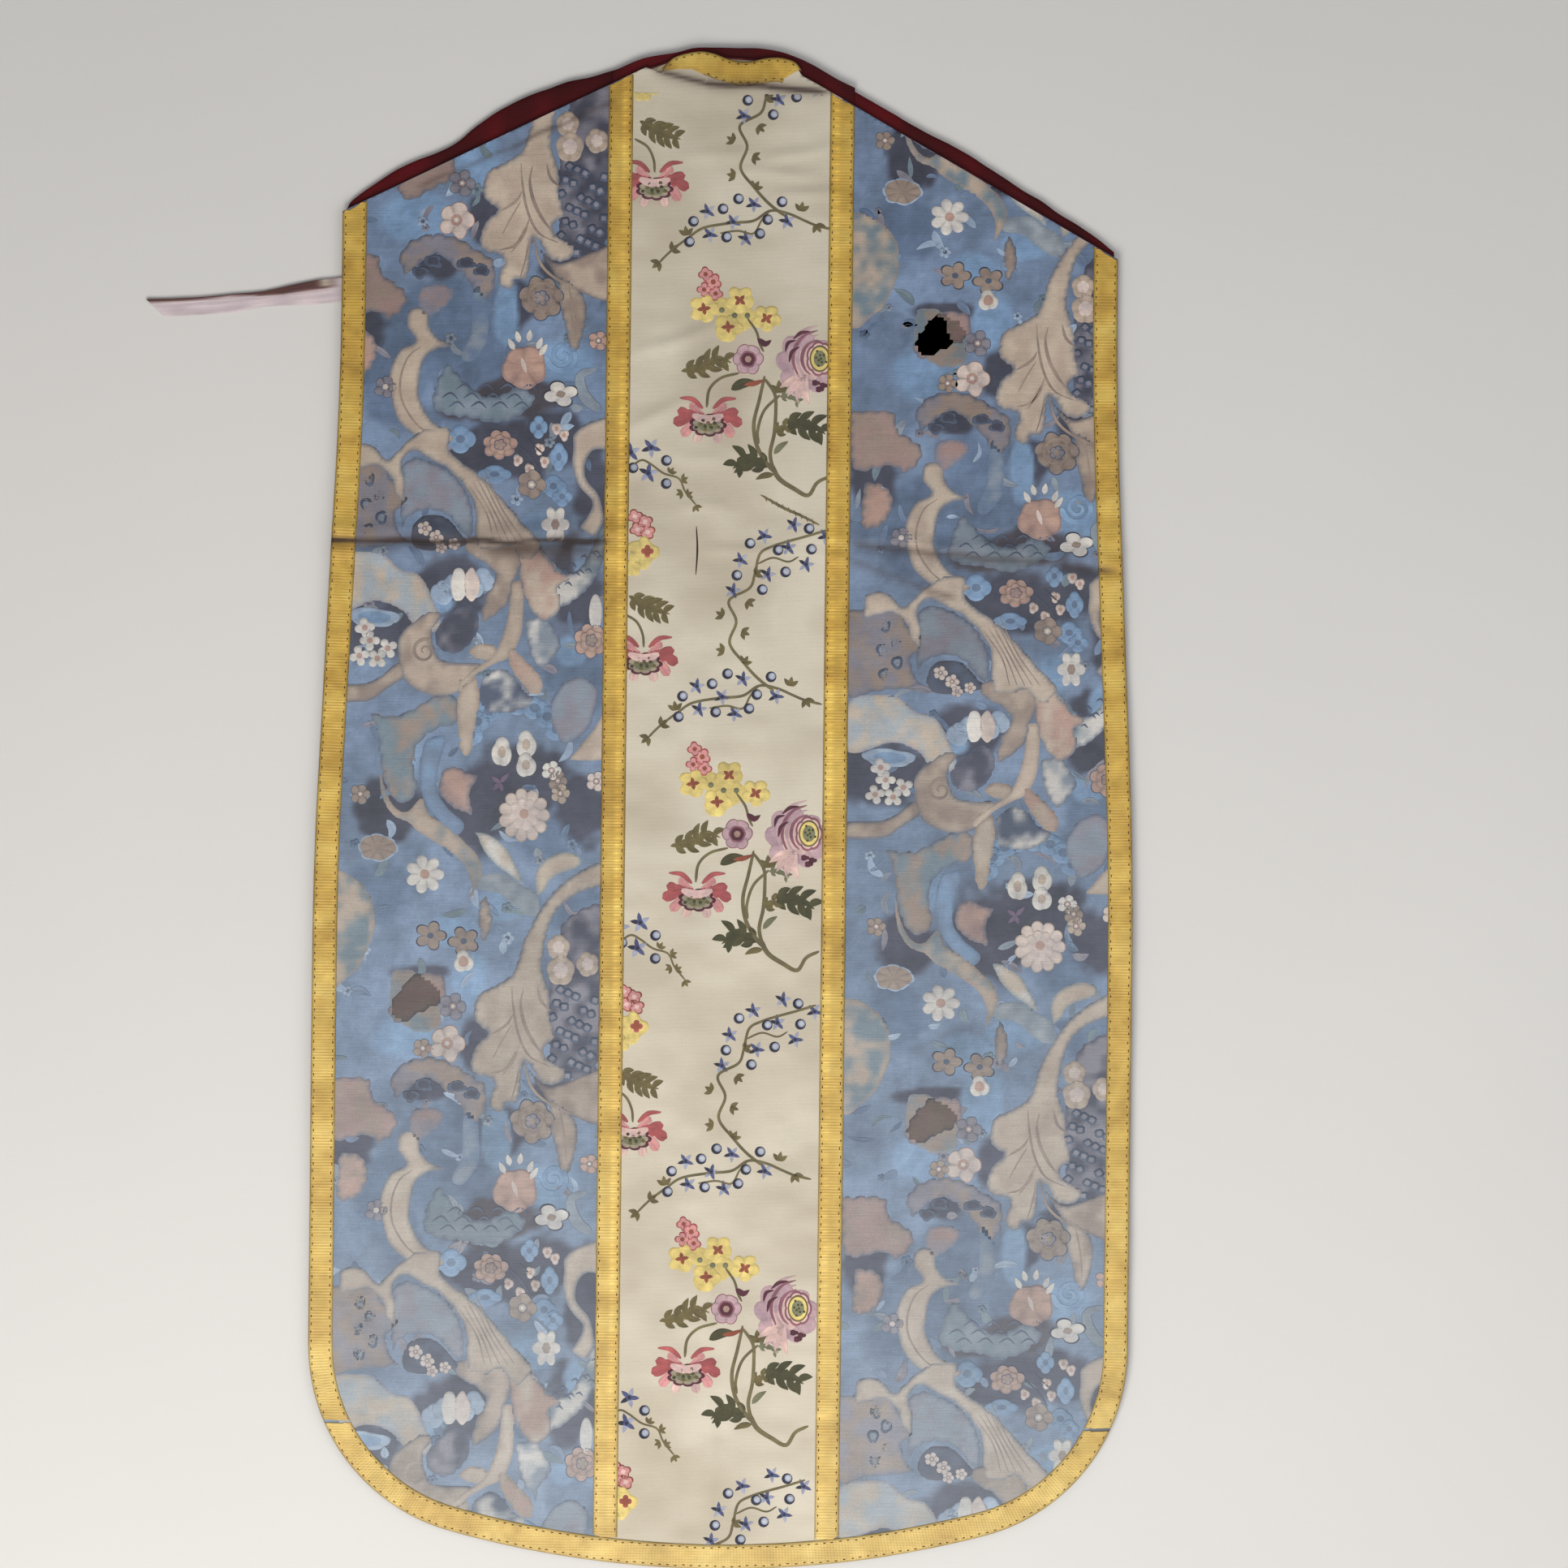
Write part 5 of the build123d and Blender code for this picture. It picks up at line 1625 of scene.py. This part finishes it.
    def braid(self, name: str, path: np.ndarray, seed: int,
              start: Callable[[np.ndarray], np.ndarray] | None = None,
              end: Callable[[np.ndarray], np.ndarray] | None = None, bright: float = 0.0,
              bright_at: float = 0.5) -> None:
        """Lay one ribbed galloon along a path, and sew it down at both edges.

        Args:
            name: the layer's name, as in its CAD node.
            path: its outer edge; the braid lies on the left of it.
            seed: which patches of light and dark.
            start: positive beyond its first cut end.
            end: positive beyond its last cut end.
            bright: strength of a dotted painted highlight along it.
            bright_at: where that painted highlight runs, as a share of the width.
        """
        path = evenly(path, 2.0)
        side = normals(path)
        run = np.concatenate([[0.0], np.cumsum(np.linalg.norm(np.diff(path, axis=0), axis=1))])
        width = self.braid_width
        across = np.array([0.0, 0.05, 0.12, 0.3, 0.5, 0.66, 0.76, 0.88, 0.95, 1.0]) * width
        moved = path[:, None, :] + side[:, None, :] * across[None, :, None]
        first, last = np.zeros(len(across)), np.full(len(across), run[-1])
        for k in range(len(across)):
            if start:
                first[k] = run[np.argmax(start(moved[:, k]) <= 0)]
            if end:
                last[k] = run[len(run) - 1 - np.argmax(end(moved[::-1, k]) <= 0)]
        length = last.mean() - first.mean()
        share = np.linspace(0.0, 1.0, max(8, round(length / self.braid_row)))[:, None]
        along = (first.mean() + share * length + (first - first.mean()) * np.exp(-share * length / 22.0)
                 + (last - last.mean()) * np.exp((share - 1.0) * length / 22.0))
        x, y = (np.stack([np.interp(along[:, k], run, moved[:, k, axis]) for k in range(len(across))],
            axis=1) for axis in (0, 1))
        bottom, top = self.levels.span(name)
        rise = self.relief.at(x, y)
        rib = np.cos(2 * np.pi * along / self.rib_pitch) * self.rib_height
        crown = np.interp(across / width, [0, 0.05, 0.12, 0.2, 0.8, 0.88, 0.95, 1.0],
            [-0.30, 0.0, 0.14, 0.04, 0.04, 0.14, 0.0, -0.30])
        sign = 1.0 if self.levels.faces_up else -1.0
        show, back = (top, bottom) if self.levels.faces_up else (bottom, top)
        face = show + rise + sign * (crown + rib * (across > 0)[None, :] - 0.05)
        reverse = back + rise + 0 * face
        rings = np.stack([np.concatenate([x, x[:, ::-1]], axis=1), np.concatenate([y, y[:, ::-1]], axis=1),
            np.concatenate([face, reverse[:, ::-1]], axis=1)], axis=2)
        patches_and_rib_shade = noise(along, across[None, :] * 0.5, 17.0, seed) + 0.5 * noise(along, across[None, :], 6.0,
            seed)
        # Painted light and shade on the ribs: each rib's crest is painted lighter and its hollow darker.
        patches_and_rib_shade = patches_and_rib_shade + 0.25 * np.cos(2 * np.pi * along / self.rib_pitch)
        light = np.clip(patches_and_rib_shade * 0.55, 0, 1)[..., None]
        dark = np.clip(-patches_and_rib_shade * 0.5, 0, 1)[..., None]
        colours = srgb(Tone.GOLD) * (1 - light - dark) + srgb(Tone.GOLD_LIGHT) * light
        colours = colours + srgb(Tone.GOLD_SHADE) * dark
        edge = np.interp(across / width, [0, 0.05, 0.12, 0.88, 0.95, 1.0],
            [0.74, 0.82, 1.0, 1.0, 0.82, 0.74])
        colours = colours * edge[None, :, None]
        # Painted highlight: a dotted bright line along the column braids.
        if bright:
            line = np.exp(-(((across / width - bright_at) / 0.1) ** 2))[None, :]
            dots = np.clip(np.cos(2 * np.pi * along / 6.0), 0, 1) ** 3 * 0.6 + 0.3
            dots = dots * (1 + 0.5 * noise(along, 0 * along, 60.0, seed))
            colours = colours * (1 + bright * line * dots)[..., None]
        # The braids turn paler towards the hem.
        paler_towards_hem = np.clip((120.0 - y) / 700.0, 0.0, 1.0)[..., None] * 0.34
        colours = colours * (1 - paler_towards_hem) + srgb(Tone.GOLD_PALE) * paler_towards_hem
        # Dirt and painted shade of the creases; along the neck braid's lower edge it is painted shadow.
        colours = self.soiled_and_shaded(colours, x, y)
        parts = MeshParts()
        parts.loft(rings, np.concatenate([colours, colours[:, ::-1]], axis=1))
        prefix = self.levels.prefix
        piece = parts.build(f"{prefix}_{name}_braid", GALLOON_GOLD)
        self.attach(piece, "gold_galloon", f"{prefix}_{name}")
        for column in (2, -3):
            line = np.stack([x[:, column], y[:, column]], axis=1)
            lift = show + sign * 0.12
            self.stitching.run(line, lambda u, v, lift=lift: lift + self.relief.at(u, v), Tone.THREAD_BROWN,
                seed + column)

    def braids(self) -> None:
        """Every galloon of the panel, and the stitches that hold them."""
        above = self.cut.skirt()
        left = above[above[:, 0] < 0]
        right = above[above[:, 0] > 0]
        low = self.mitre_y

        def over_shoulder(p: np.ndarray) -> np.ndarray:
            """Positive above the shoulder line."""
            return p[:, 1] - self.cut.yoke.shoulder(p[:, 0])

        def below_mitre(p: np.ndarray) -> np.ndarray:
            """Positive below the join with the hem braid."""
            return low - p[:, 1]

        def above_mitre(p: np.ndarray) -> np.ndarray:
            """Positive above the join with the edge braid."""
            return p[:, 1] - low

        def under_hem(p: np.ndarray) -> np.ndarray:
            """Positive beyond the inner edge of the hem braid."""
            return self.cut.inner_hem(p[:, 0], self.braid_width - 0.4) - p[:, 1]

        def over_top(p: np.ndarray) -> np.ndarray:
            """Positive above the column's top."""
            return p[:, 1] - np.minimum(self.cut.yoke.shoulder(p[:, 0]), self.column_top)

        self.braid("edge_galloon_left", left, 91, over_shoulder, below_mitre)
        self.braid("edge_galloon_right", right, 92, below_mitre, over_shoulder)
        self.braid("hem_galloon", above, 93, above_mitre, above_mitre)
        column, outer = self.column_half, self.column_half + self.braid_width
        reach = self.cut.yoke.top - self.cut.length - 10.0
        top = self.cut.yoke.top + 10.0
        self.braid("column_galloon_left", np.array([[-outer, top], [-outer, reach]]), 94, over_top,
            under_hem, 0.30, 0.69)
        self.braid("column_galloon_right", np.array([[column, top], [column, reach]]), 95, over_top,
            under_hem, 0.34, 0.23)
        self.braid("neck_galloon", self.neck_path(), 96, self.below_neck, self.below_neck)
        stitches = self.stitching.parts.build(f"{self.levels.prefix}_galloon_stitches", THREAD)
        self.attach(stitches, "gold_galloon")

    def neck_path(self) -> np.ndarray:
        """The outer edge of the neck braid."""
        return smooth_path(list(self.cut.neck_edge[::-1]), 3.0)

    def below_neck(self, p: np.ndarray) -> np.ndarray:
        """Positive beyond the cut ends of the neck braid; here it keeps its whole length."""
        return np.full(len(p), -1.0)

    def build(self, beneath: str) -> None:
        """Build the whole panel from its linings outwards.

        Args:
            beneath: the CAD layer that its lowest cloth lies on; not used.
        """
        self.under_layers()
        self.brocade("left")
        self.brocade("right")
        self.column([(-COLUMN_DRIFT * k, COLUMN_REPEAT * (1 - k)) for k in range(-1, 4)])
        self.braids()


def satin_roll(name: str, outer: np.ndarray, inner: np.ndarray, low: float, high: float) -> bpy.types.Object:
    """A flat roll of crimson satin, its outer edge round and a little uneven.

    Args:
        name: the piece's name.
        outer: the edge that shows.
        inner: the edge that lies hidden, place by place.
        low: height of its underside in millimetres.
        high: height of its face in millimetres.

    Returns:
        The built piece.
    """
    places = np.linspace(0.0, 1.0, len(outer)) * len(outer) * SATIN_ROW
    outer = outer + normals(outer) * (0.7 * noise(places, 0 * places, 17.0, 101))[:, None]
    share = np.array([0.0, 0.03, 0.08, 0.16, 0.28, 0.42, 0.7, 1.0])
    flat = outer[:, None, :] * (1 - share[None, :, None]) + inner[:, None, :] * share[None, :, None]
    round_edge = np.clip(1.0 - share / 0.08, 0.0, 1.0) ** 2
    ripple = 0.25 * noise(places[:, None], share[None, :] * 12.0, 9.0, 102)
    middle, half = (low + high) / 2, (high - low) / 2 - 0.1
    top = middle + half * (1 - 0.9 * round_edge)[None, :] + np.minimum(ripple, 0.0)
    bottom = middle - half * (1 - 0.9 * round_edge)[None, :] + 0 * top
    rings = np.concatenate([np.dstack([flat[..., 0], flat[..., 1], top]),
        np.dstack([flat[..., 0], flat[..., 1], bottom])[:, ::-1]], axis=1)
    sheen = 1.0 + 0.25 * noise(places[:, None], share[None, :] * 20.0, 14.0, 103)
    colours = srgb(Tone.DARK_CRIMSON) * sheen[..., None]
    parts = MeshParts()
    parts.loft(rings, np.concatenate([colours, colours[:, ::-1]], axis=1))
    return parts.build(name, BINDING)


@dataclass
class BackPanel(Panel):
    """The back panel, uppermost, with its storage crease, darn and marks of wear, and dirt and painted shade
    along its creases and under the neck braid.
    """

    # Dark lines, each as start, end, spread and depth: the first five follow storage creases and carry dirt
    # and painted shade in their folds; the last three run along the neck braid's lower edge as painted shadow.
    creases: tuple[tuple[Point, Point, float, float], ...] = (((-318.0, 207.0), (-96.0, 209.0), 1.9, 1.15),
        ((-190.0, 203.0), (-96.0, 203.0), 8.0, 0.42), ((98.0, 209.0), (300.0, 191.0), 2.8, 0.34),
        ((98.0, 196.0), (176.0, 168.0), 2.6, 0.30), ((-92.0, 553.0), (-240.0, 486.0), 2.0, 0.30),
        ((-57.0, 577.0), (-18.0, 567.5), 2.0, 0.85), ((-22.0, 568.0), (30.0, 566.5), 2.0, 0.85),
        ((26.0, 566.8), (73.0, 562.0), 2.0, 0.85),)

    def soil_and_shade(self, x: np.ndarray, y: np.ndarray) -> np.ndarray:
        """Dark dirt and painted shade in the storage creases, a fainter, wider darkening round them, and
        painted shadow along the neck braid's lower edge.
        """
        total = np.zeros(np.shape(x))
        for (x0, y0), (x1, y1), spread, depth in self.creases:
            length = math.hypot(x1 - x0, y1 - y0)
            along = ((x - x0) * (x1 - x0) + (y - y0) * (y1 - y0)) / length
            aside = ((y - y0) * (x1 - x0) - (x - x0) * (y1 - y0)) / length
            aside = aside + 1.2 * noise(along, 0 * along, 21.0, int(abs(x0)))
            ends = np.clip(np.minimum(along, length - along) / 12.0 + 0.6, 0, 1)
            uneven = 0.75 + 0.35 * noise(along, 0 * along, 33.0, 7 + int(abs(y0)))
            core = np.exp(-((aside / spread) ** 2)) + 0.28 * np.exp(-((aside / (spread * 3.5)) ** 2))
            total = np.maximum(total, depth * ends * uneven * core)
        return np.clip(total, 0.0, 0.85)

    def wear_marks(self, weaver: Weaver) -> None:
        """The slit in the column, and the darn below it with its stitches."""
        weaver.origin, weaver.drift = (0.0, 0.0), 0.0
        weaver.band([(-24, -222), (-23, -204), (-24, -184)], (0.8, 1.6, 0.8), Tone.SOIL_AND_SHADE, Tone.SOIL_AND_SHADE, 2)
        weaver.band([(26, -247), (44, -237), (58, -231), (72, -224)], (1.4, 2.4, 2.2, 1.4), Tone.STEM,
            Tone.OLIVE, 2)
        for k in range(9):
            x, y = 30 + 4.6 * k, -244 + 2.2 * k
            weaver.band([(x - 0.8, y - 2.2), (x + 0.8, y + 2.2)], (1.0, 1.0), Tone.OLIVE, Tone.STEM, 4)

    def neck_path(self) -> np.ndarray:
        """The scalloped top edge of the neck braid, dipping at its join."""
        return smooth_path([(54.4, 578.0), (49.5, 585.0), (38.5, 588.5), (26.0, 588.0), (11.5, 585.0),
            (-3.0, 587.0), (-15.5, 591.5), (-28.0, 592.5), (-45.0, 588.0), (-54.6, 579.0)], 3.0)

    def below_neck(self, p: np.ndarray) -> np.ndarray:
        """Positive below the crescent that the neck braid narrows to at both ends."""
        return np.interp(p[:, 0], [-55, -35, -20, -3, 12, 29, 41, 54.4],
            [577, 579.7, 573.7, 569, 567.8, 567.3, 570.5, 578]) - p[:, 1]

    def neck_rim(self) -> None:
        """The lining's crimson edge, turned out behind the neck braid."""
        outer = smooth_path([(-94, 577), (-69, 588), (-45, 592), (-28, 596), (-3, 597), (28, 595.5),
            (53, 589), (78, 576), (96, 566)], SATIN_ROW)
        inner = np.column_stack([outer[:, 0], outer[:, 1] - NECK_RIM_LAP])
        piece = satin_roll("back_neck_rim", outer, inner, *NECK_RIM_SPAN)
        self.attach(piece, "crimson_lining")

    def silk_outline(self) -> np.ndarray:
        """The silks end under the neck braid, a little below its scallops."""
        outline = self.cut.outline()
        low = outline[:, 1] < self.cut.yoke.top - 40.0
        scallops = self.neck_path()[::-1] - np.array([0.0, 3.0])
        return np.vstack([outline[low], [[67.5, 568.0]], scallops[::-1], [[-67.5, 580.0]]])


@dataclass
class FrontPanel(Panel):
    """The front panel, underneath, its silks facing the surface it lies on."""

    def neck_path(self) -> np.ndarray:
        """The edge of the neck notch, its braid outside it."""
        radius = self.cut.neck_radius
        bowl = arc((0.0, self.cut.neck_floor + radius), radius, 0.0, -180.0)
        top = self.cut.yoke.top - 26.0
        return np.vstack([[[radius, top]], bowl, [[-radius, top + 10.0]]])


@dataclass
class ShoulderBindings:
    """The crimson satin bindings that stand out as a narrow rim behind both shoulders."""

    lap: float = 14.0
    left_edge: tuple[Point, ...] = ((-300, 468), (-294, 476), (-262, 498), (-221, 517), (-197, 535),
        (-173, 551), (-140, 565), (-92, 578), (-67, 587))
    right_edge: tuple[Point, ...] = ((67, 580), (79, 574), (125, 547), (182, 517), (218, 495), (280, 455),
        (300, 440))

    def build(self) -> None:
        """Both bindings."""
        self.binding("shoulder_binding_left", self.left_edge)
        self.binding("shoulder_binding_right", self.right_edge)

    def binding(self, node: str, edge: Points) -> None:
        """One binding: a flat roll of satin, its edge a little uneven."""
        low, high = (corner.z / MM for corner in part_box(node))
        outer = smooth_path(edge, SATIN_ROW)
        inner = np.column_stack([outer[:, 0], YOKE.shoulder(outer[:, 0]) - self.lap])
        piece = satin_roll(f"{node}_satin", outer, inner, low, high)
        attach(piece, "front")
        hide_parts(node)


@dataclass
class WaistTie:
    """The ribbon tie and the patch that sews it inside the front panel."""

    route: tuple[tuple[float, float, float], ...] = (
        (-200.0, 412.6, 3.15), (-238.0, 409.2, 3.20), (-281.0, 407.0, 3.50), (-314.0, 403.8, 0.40),
        (-350.0, 398.8, 0.36), (-386.0, 393.4, 0.36), (-420.0, 389.8, 0.36), (-449.0, 388.9, 0.36),
    )
    width: float = 18.0
    thickness: float = 0.6
    slant: float = 14.0
    patch_size: Point = (24.0, 26.0)

    def centreline(self) -> np.ndarray:
        """Places along the smooth line through the route, in metres."""
        curve = bpy.data.curves.new("tie_line", "CURVE")
        curve.dimensions = "3D"
        curve.resolution_u = 16
        spline = curve.splines.new("NURBS")
        spline.points.add(len(self.route) - 1)
        for point, place in zip(spline.points, self.route):
            point.co = (*(v * MM for v in place), 1.0)
        spline.order_u = 3
        spline.use_endpoint_u = True
        holder = bpy.data.objects.new("tie_line", curve)
        bpy.context.scene.collection.objects.link(holder)
        bpy.context.view_layer.update()
        mesh = bpy.data.meshes.new_from_object(holder)
        line = np.array([tuple(v.co) for v in mesh.vertices])
        bpy.data.objects.remove(holder)
        bpy.data.meshes.remove(mesh)
        return line

    def build(self) -> None:
        """The ribbon, folded along its length, and its patch."""
        patch = self.patch()
        line = self.centreline()
        path = evenly(line / MM, 1.2)
        run = np.linspace(0.0, 1.0, len(path))
        length = float(np.linalg.norm(np.diff(path, axis=0), axis=1).sum())
        place = run * length
        wide = np.interp(path[:, 0], [-450, -435, -412, -387, -372, -364, -350, -340, -322, -309, -300],
            [13.6, 13.4, 13.6, 13.8, 12.2, 11.8, 14.0, 15.8, 18.6, 18.4, 18.0])
        spread = np.array([-1.0, -0.93, -0.7, -0.4, -0.1, 0.16, 0.26, 0.34, 0.5, 0.75, 0.93, 1.0])
        aside = normals(path[:, :2])
        reach = -wide[:, None] / 2 * spread[None, :]
        cut = np.clip((run - 1.0) * length + 22.0, 0.0, None) / 22.0
        heading = np.gradient(path[:, :2], axis=0)
        heading /= np.linalg.norm(heading, axis=1, keepdims=True)
        trim = self.slant * cut[:, None] * (spread[None, :] * 0.5 + 0.05)
        x = path[:, 0:1] + aside[:, 0:1] * reach + heading[:, 0:1] * trim
        y = path[:, 1:2] + aside[:, 1:2] * reach + heading[:, 1:2] * trim
        outside = np.clip((-304.0 - path[:, 0]) / 14.0, 0.0, 1.0)
        twist = np.exp(-(((path[:, 0] + 374.0) / 9.0) ** 2))
        fold = np.interp(path[:, 0], [-450, -440, -392, -378, -366, -350, -312],
            [0.55, 0.6, 0.8, 0.7, 0.4, 0.22, 0.2])
        folded = 1.0 / (1.0 + np.exp(-(spread[None, :] - fold[:, None]) * 22.0))
        curl = 0.5 * noise(place[:, None], spread[None, :] * 6.0, 12.0, 111)
        lift = outside[:, None] * (0.7 * folded + 1.3 * twist[:, None] * (1 - np.abs(spread[None, :])) + 0.25
            + np.clip(curl, 0, 1) * 0.7)
        low = path[:, 2:3] - self.thickness / 2 + 0.05 + lift * 0.6
        high = path[:, 2:3] + self.thickness / 2 + lift
        rings = np.concatenate([np.dstack([x, y, high]), np.dstack([x, y, low])[:, ::-1]], axis=1)
        streak = 1.0 + 0.07 * noise(place[:, None] * 0.3, spread[None, :] * 30.0, 5.0, 112)
        # Painted shade: the folded-over part of the ribbon outside the panel is mixed toward a dark reddish
        # tone.
        painted_fold_shade = folded * outside[:, None]
        colours = srgb(Tone.RIBBON) * (1 - painted_fold_shade[..., None]) + srgb(Tone.RIBBON_PAINTED_SHADE) * painted_fold_shade[..., None]
        # Painted highlight: a pale cream patch along one edge of the ribbon just outside the panel's edge.
        painted_light_patch = np.exp(-(((path[:, 0] + 316.0) / 5.0) ** 2))[:, None] * (spread > 0.4)[None, :]
        colours = colours + (srgb(Tone.CREAM) - colours) * (painted_light_patch * 0.75)[..., None]
        colours = colours * streak[..., None]
        parts = MeshParts()
        parts.loft(rings, np.concatenate([colours, colours[:, ::-1]], axis=1))
        ribbon = parts.build("waist_tie_ribbon", RIBBON)
        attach(ribbon, "front")
        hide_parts("tie_ribbon")

    def patch(self) -> bpy.types.Object:
        """The patch that holds the tie, sewn down with a crossed square."""
        low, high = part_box("tie_anchor")
        centre = np.array([(low.x + high.x) / 2, (low.y + high.y) / 2]) / MM
        bottom, top = low.z / MM, high.z / MM
        grid = np.linspace(-1.0, 1.0, 15)
        u, v = np.meshgrid(grid, grid)
        turn = math.atan2(self.route[0][1] - self.route[1][1], self.route[0][0] - self.route[1][0])
        half_u, half_v = self.patch_size[0] / 2, self.patch_size[1] / 2
        x = centre[0] + u * half_u * math.cos(turn) - v * half_v * math.sin(turn)
        y = centre[1] + u * half_u * math.sin(turn) + v * half_v * math.cos(turn)
        edge = np.clip(1.0 - np.maximum(np.abs(u), np.abs(v)), 0.0, 0.15) / 0.15
        height = bottom + 0.5 + (top - bottom - 0.6) * edge**0.5
        places = np.column_stack([x.ravel(), y.ravel()])
        parts = MeshParts()
        colours = srgb(Tone.DARK_CRIMSON) * (1 + 0.1 * noise(x, y, 4.0, 121)).ravel()[:, None]
        parts.slab(places, grid_faces(15, 15), height.ravel(), np.full(u.size, bottom), colours)
        piece = parts.build("tie_patch", LINING)
        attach(piece, "front")
        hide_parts("tie_anchor")
        stitching = Stitching(length=2.2, width=0.5, pitch=3.0)
        square = np.array([[-0.75, -0.75], [0.75, -0.75], [0.75, 0.75], [-0.75, 0.75], [-0.75, -0.75],
            [0.75, 0.75]])
        for start, stop in zip(square, square[1:]):
            ends = np.array([start, stop]) * np.array([half_u, half_v])
            turned = np.column_stack([centre[0] + ends[:, 0] * math.cos(turn) - ends[:, 1] * math.sin(turn),
                centre[1] + ends[:, 0] * math.sin(turn) + ends[:, 1] * math.cos(turn)])
            stitching.run(turned, lambda a, b: 0 * a + top - 0.1, Tone.CREAM_SHADE, 122)
        thread = stitching.parts.build("tie_patch_stitches", THREAD)
        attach(thread, "front")
        return piece


@dataclass
class Studio:
    """The floor, the soft lights and the camera straight above."""

    floor_level: float = -0.6
    floor_reach: float = 4000.0
    frame_width: float = 1.2278
    middle: Point = (0.0467, 0.0215)
    turn: float = 0.643
    lens: float = 85.0

    def build(self) -> None:
        """Floor, lights and camera."""
        reach = self.floor_reach
        grid = np.linspace(-reach, reach, 9)
        x, y = np.meshgrid(grid, grid)
        parts = MeshParts()
        points = np.column_stack([x.ravel(), y.ravel(), np.full(x.size, self.floor_level)])
        parts.add(points, grid_faces(9, 9), np.array([[226.0, 223.0, 218.0]]))
        parts.build("studio_floor", FLOOR)
        self.light("key_light", (-0.5, -1.55, 1.9), 1.3, 41.0, (1.0, 0.975, 0.94))
        self.light("fill_light", (1.5, -0.7, 2.4), 2.2, 19.0, (0.95, 0.97, 1.0))
        self.light("top_light", (-0.3, 0.6, 3.2), 2.0, 10.0, (1.0, 0.98, 0.94))
        world = bpy.data.worlds.new("studio_air")
        world.use_nodes = True
        world.node_tree.nodes["Background"].inputs["Color"].default_value = (0.9, 0.93, 1.0, 1.0)
        world.node_tree.nodes["Background"].inputs["Strength"].default_value = 0.25
        bpy.context.scene.world = world
        self.camera()

    def light(self, name: str, place: tuple[float, float, float], size: float, power: float,
              colour: tuple[float, float, float]) -> None:
        """One square area light that looks at the garment."""
        data = bpy.data.lights.new(name, "AREA")
        data.size, data.energy, data.color = size, power, colour
        lamp = bpy.data.objects.new(name, data)
        lamp.location = place
        aim = -lamp.location.copy()
        lamp.rotation_euler = aim.to_track_quat("-Z", "Y").to_euler()
        bpy.context.scene.collection.objects.link(lamp)

    def camera(self) -> None:
        """The camera, straight above and a little turned."""
        data = bpy.data.cameras.new("camera")
        data.lens = self.lens
        data.sensor_width = 36.0
        camera = bpy.data.objects.new("camera", data)
        camera.location = (*self.middle, self.frame_width * self.lens / data.sensor_width)
        camera.rotation_euler = (0.0, 0.0, math.radians(self.turn))
        bpy.context.scene.collection.objects.link(camera)
        bpy.context.scene.camera = camera
        bpy.context.scene.view_settings.view_transform = "Standard"


# The column's repeat down the cloth, its drift to the side, and where its flowers stop
COLUMN_REPEAT = 371.0
COLUMN_DRIFT = 4.4
COLUMN_CEILING = 560.0

# Satin edges: the step along them, and the neck rim's hidden depth and its levels under the lining
SATIN_ROW = 2.0
NECK_RIM_LAP = 24.0
NECK_RIM_SPAN = (4.50, 4.74)

BACK_RIDGES = (Ridge((-322, 215), (-92, 217), 6, 2.4), Ridge((-322, 199), (-92, 200), 7, 2.0),
    Ridge((92, 216), (316, 199), 6, 2.4), Ridge((92, 200), (200, 168), 7, 1.4),
    Ridge((92, 203), (316, 184), 5, 1.2), Ridge((30, 508), (76, 522), 5, 1.5),
    Ridge((14, 499), (62, 497), 5, 1.6), Ridge((40, 483), (82, 485), 5, 1.5),
    Ridge((-34, 510), (12, 512), 6, 1.2), Ridge((-74, 356), (-12, 376), 6, 1.9),
    Ridge((-76, 298), (-34, 317), 6, 1.9), Ridge((-40, 277), (-4, 275), 6, 1.3),
    Ridge((-34, 235), (-4, 238), 5, 1.2), Ridge((-12, 203), (34, 201), 5, 1.4),
    Ridge((-10, -300), (-4, -572), 8, 1.7), Ridge((12, -340), (14, -560), 8, 1.2),
    Ridge((-40, -420), (-30, -560), 9, 0.9), Ridge((-320, 340), (-312, 120), 15, 2.2),
    Ridge((318, 60), (322, -160), 16, 2.0), Ridge((-322, -60), (-322, -260), 16, 1.6),
    Ridge((-210, -470), (-130, -520), 16, 1.4), Ridge((140, -500), (240, -440), 18, 1.5),)


def back_panel() -> BackPanel:
    """The back panel at its cut sizes."""
    cut = PanelCut(YOKE, 320.0, 1184.0, 150.0, 800.0, ((303.0, 330.0), (320.0, -40.0)), (3000.0, 3000.0),
        303.0, ((-67.0, 580.5), (-35.0, 592.0), (35.0, 588.0), (67.0, 568.5)))
    relief = Relief(1.15, -0.15, 6.5, BACK_RIDGES)
    return BackPanel(cut, Levels("back", True), relief, 2.5, True, 0.6, 700.0, -480.0)


def front_panel() -> FrontPanel:
    """The front panel at its cut sizes."""
    cut = PanelCut(YOKE, 285.0, 1124.0, 120.0, 700.0, ((300.0, 449.5), (230.0, 252.0)), (20.0, 420.0), 300.0,
        ((-67.0, 580.5), (67.0, 568.5)), 67.0, 392.0)
    relief = Relief(0.10, 0.0, 0.2, pitch=4.0, seed=50)
    return FrontPanel(cut, Levels("front", False), relief, 4.0, False, 2.4, 459.0, -428.0, rib_height=0.0)


def main() -> None:
    """Build the garment piece by piece, then the studio."""
    logging.basicConfig(level=logging.INFO, format="%(name)s: %(message)s")
    Studio().build()
    WaistTie().build()
    ShoulderBindings().build()
    back = back_panel()
    back.build("front_lining")
    back.neck_rim()
    front_panel().build("front_interlining")


if __name__ == "__main__":
    main()
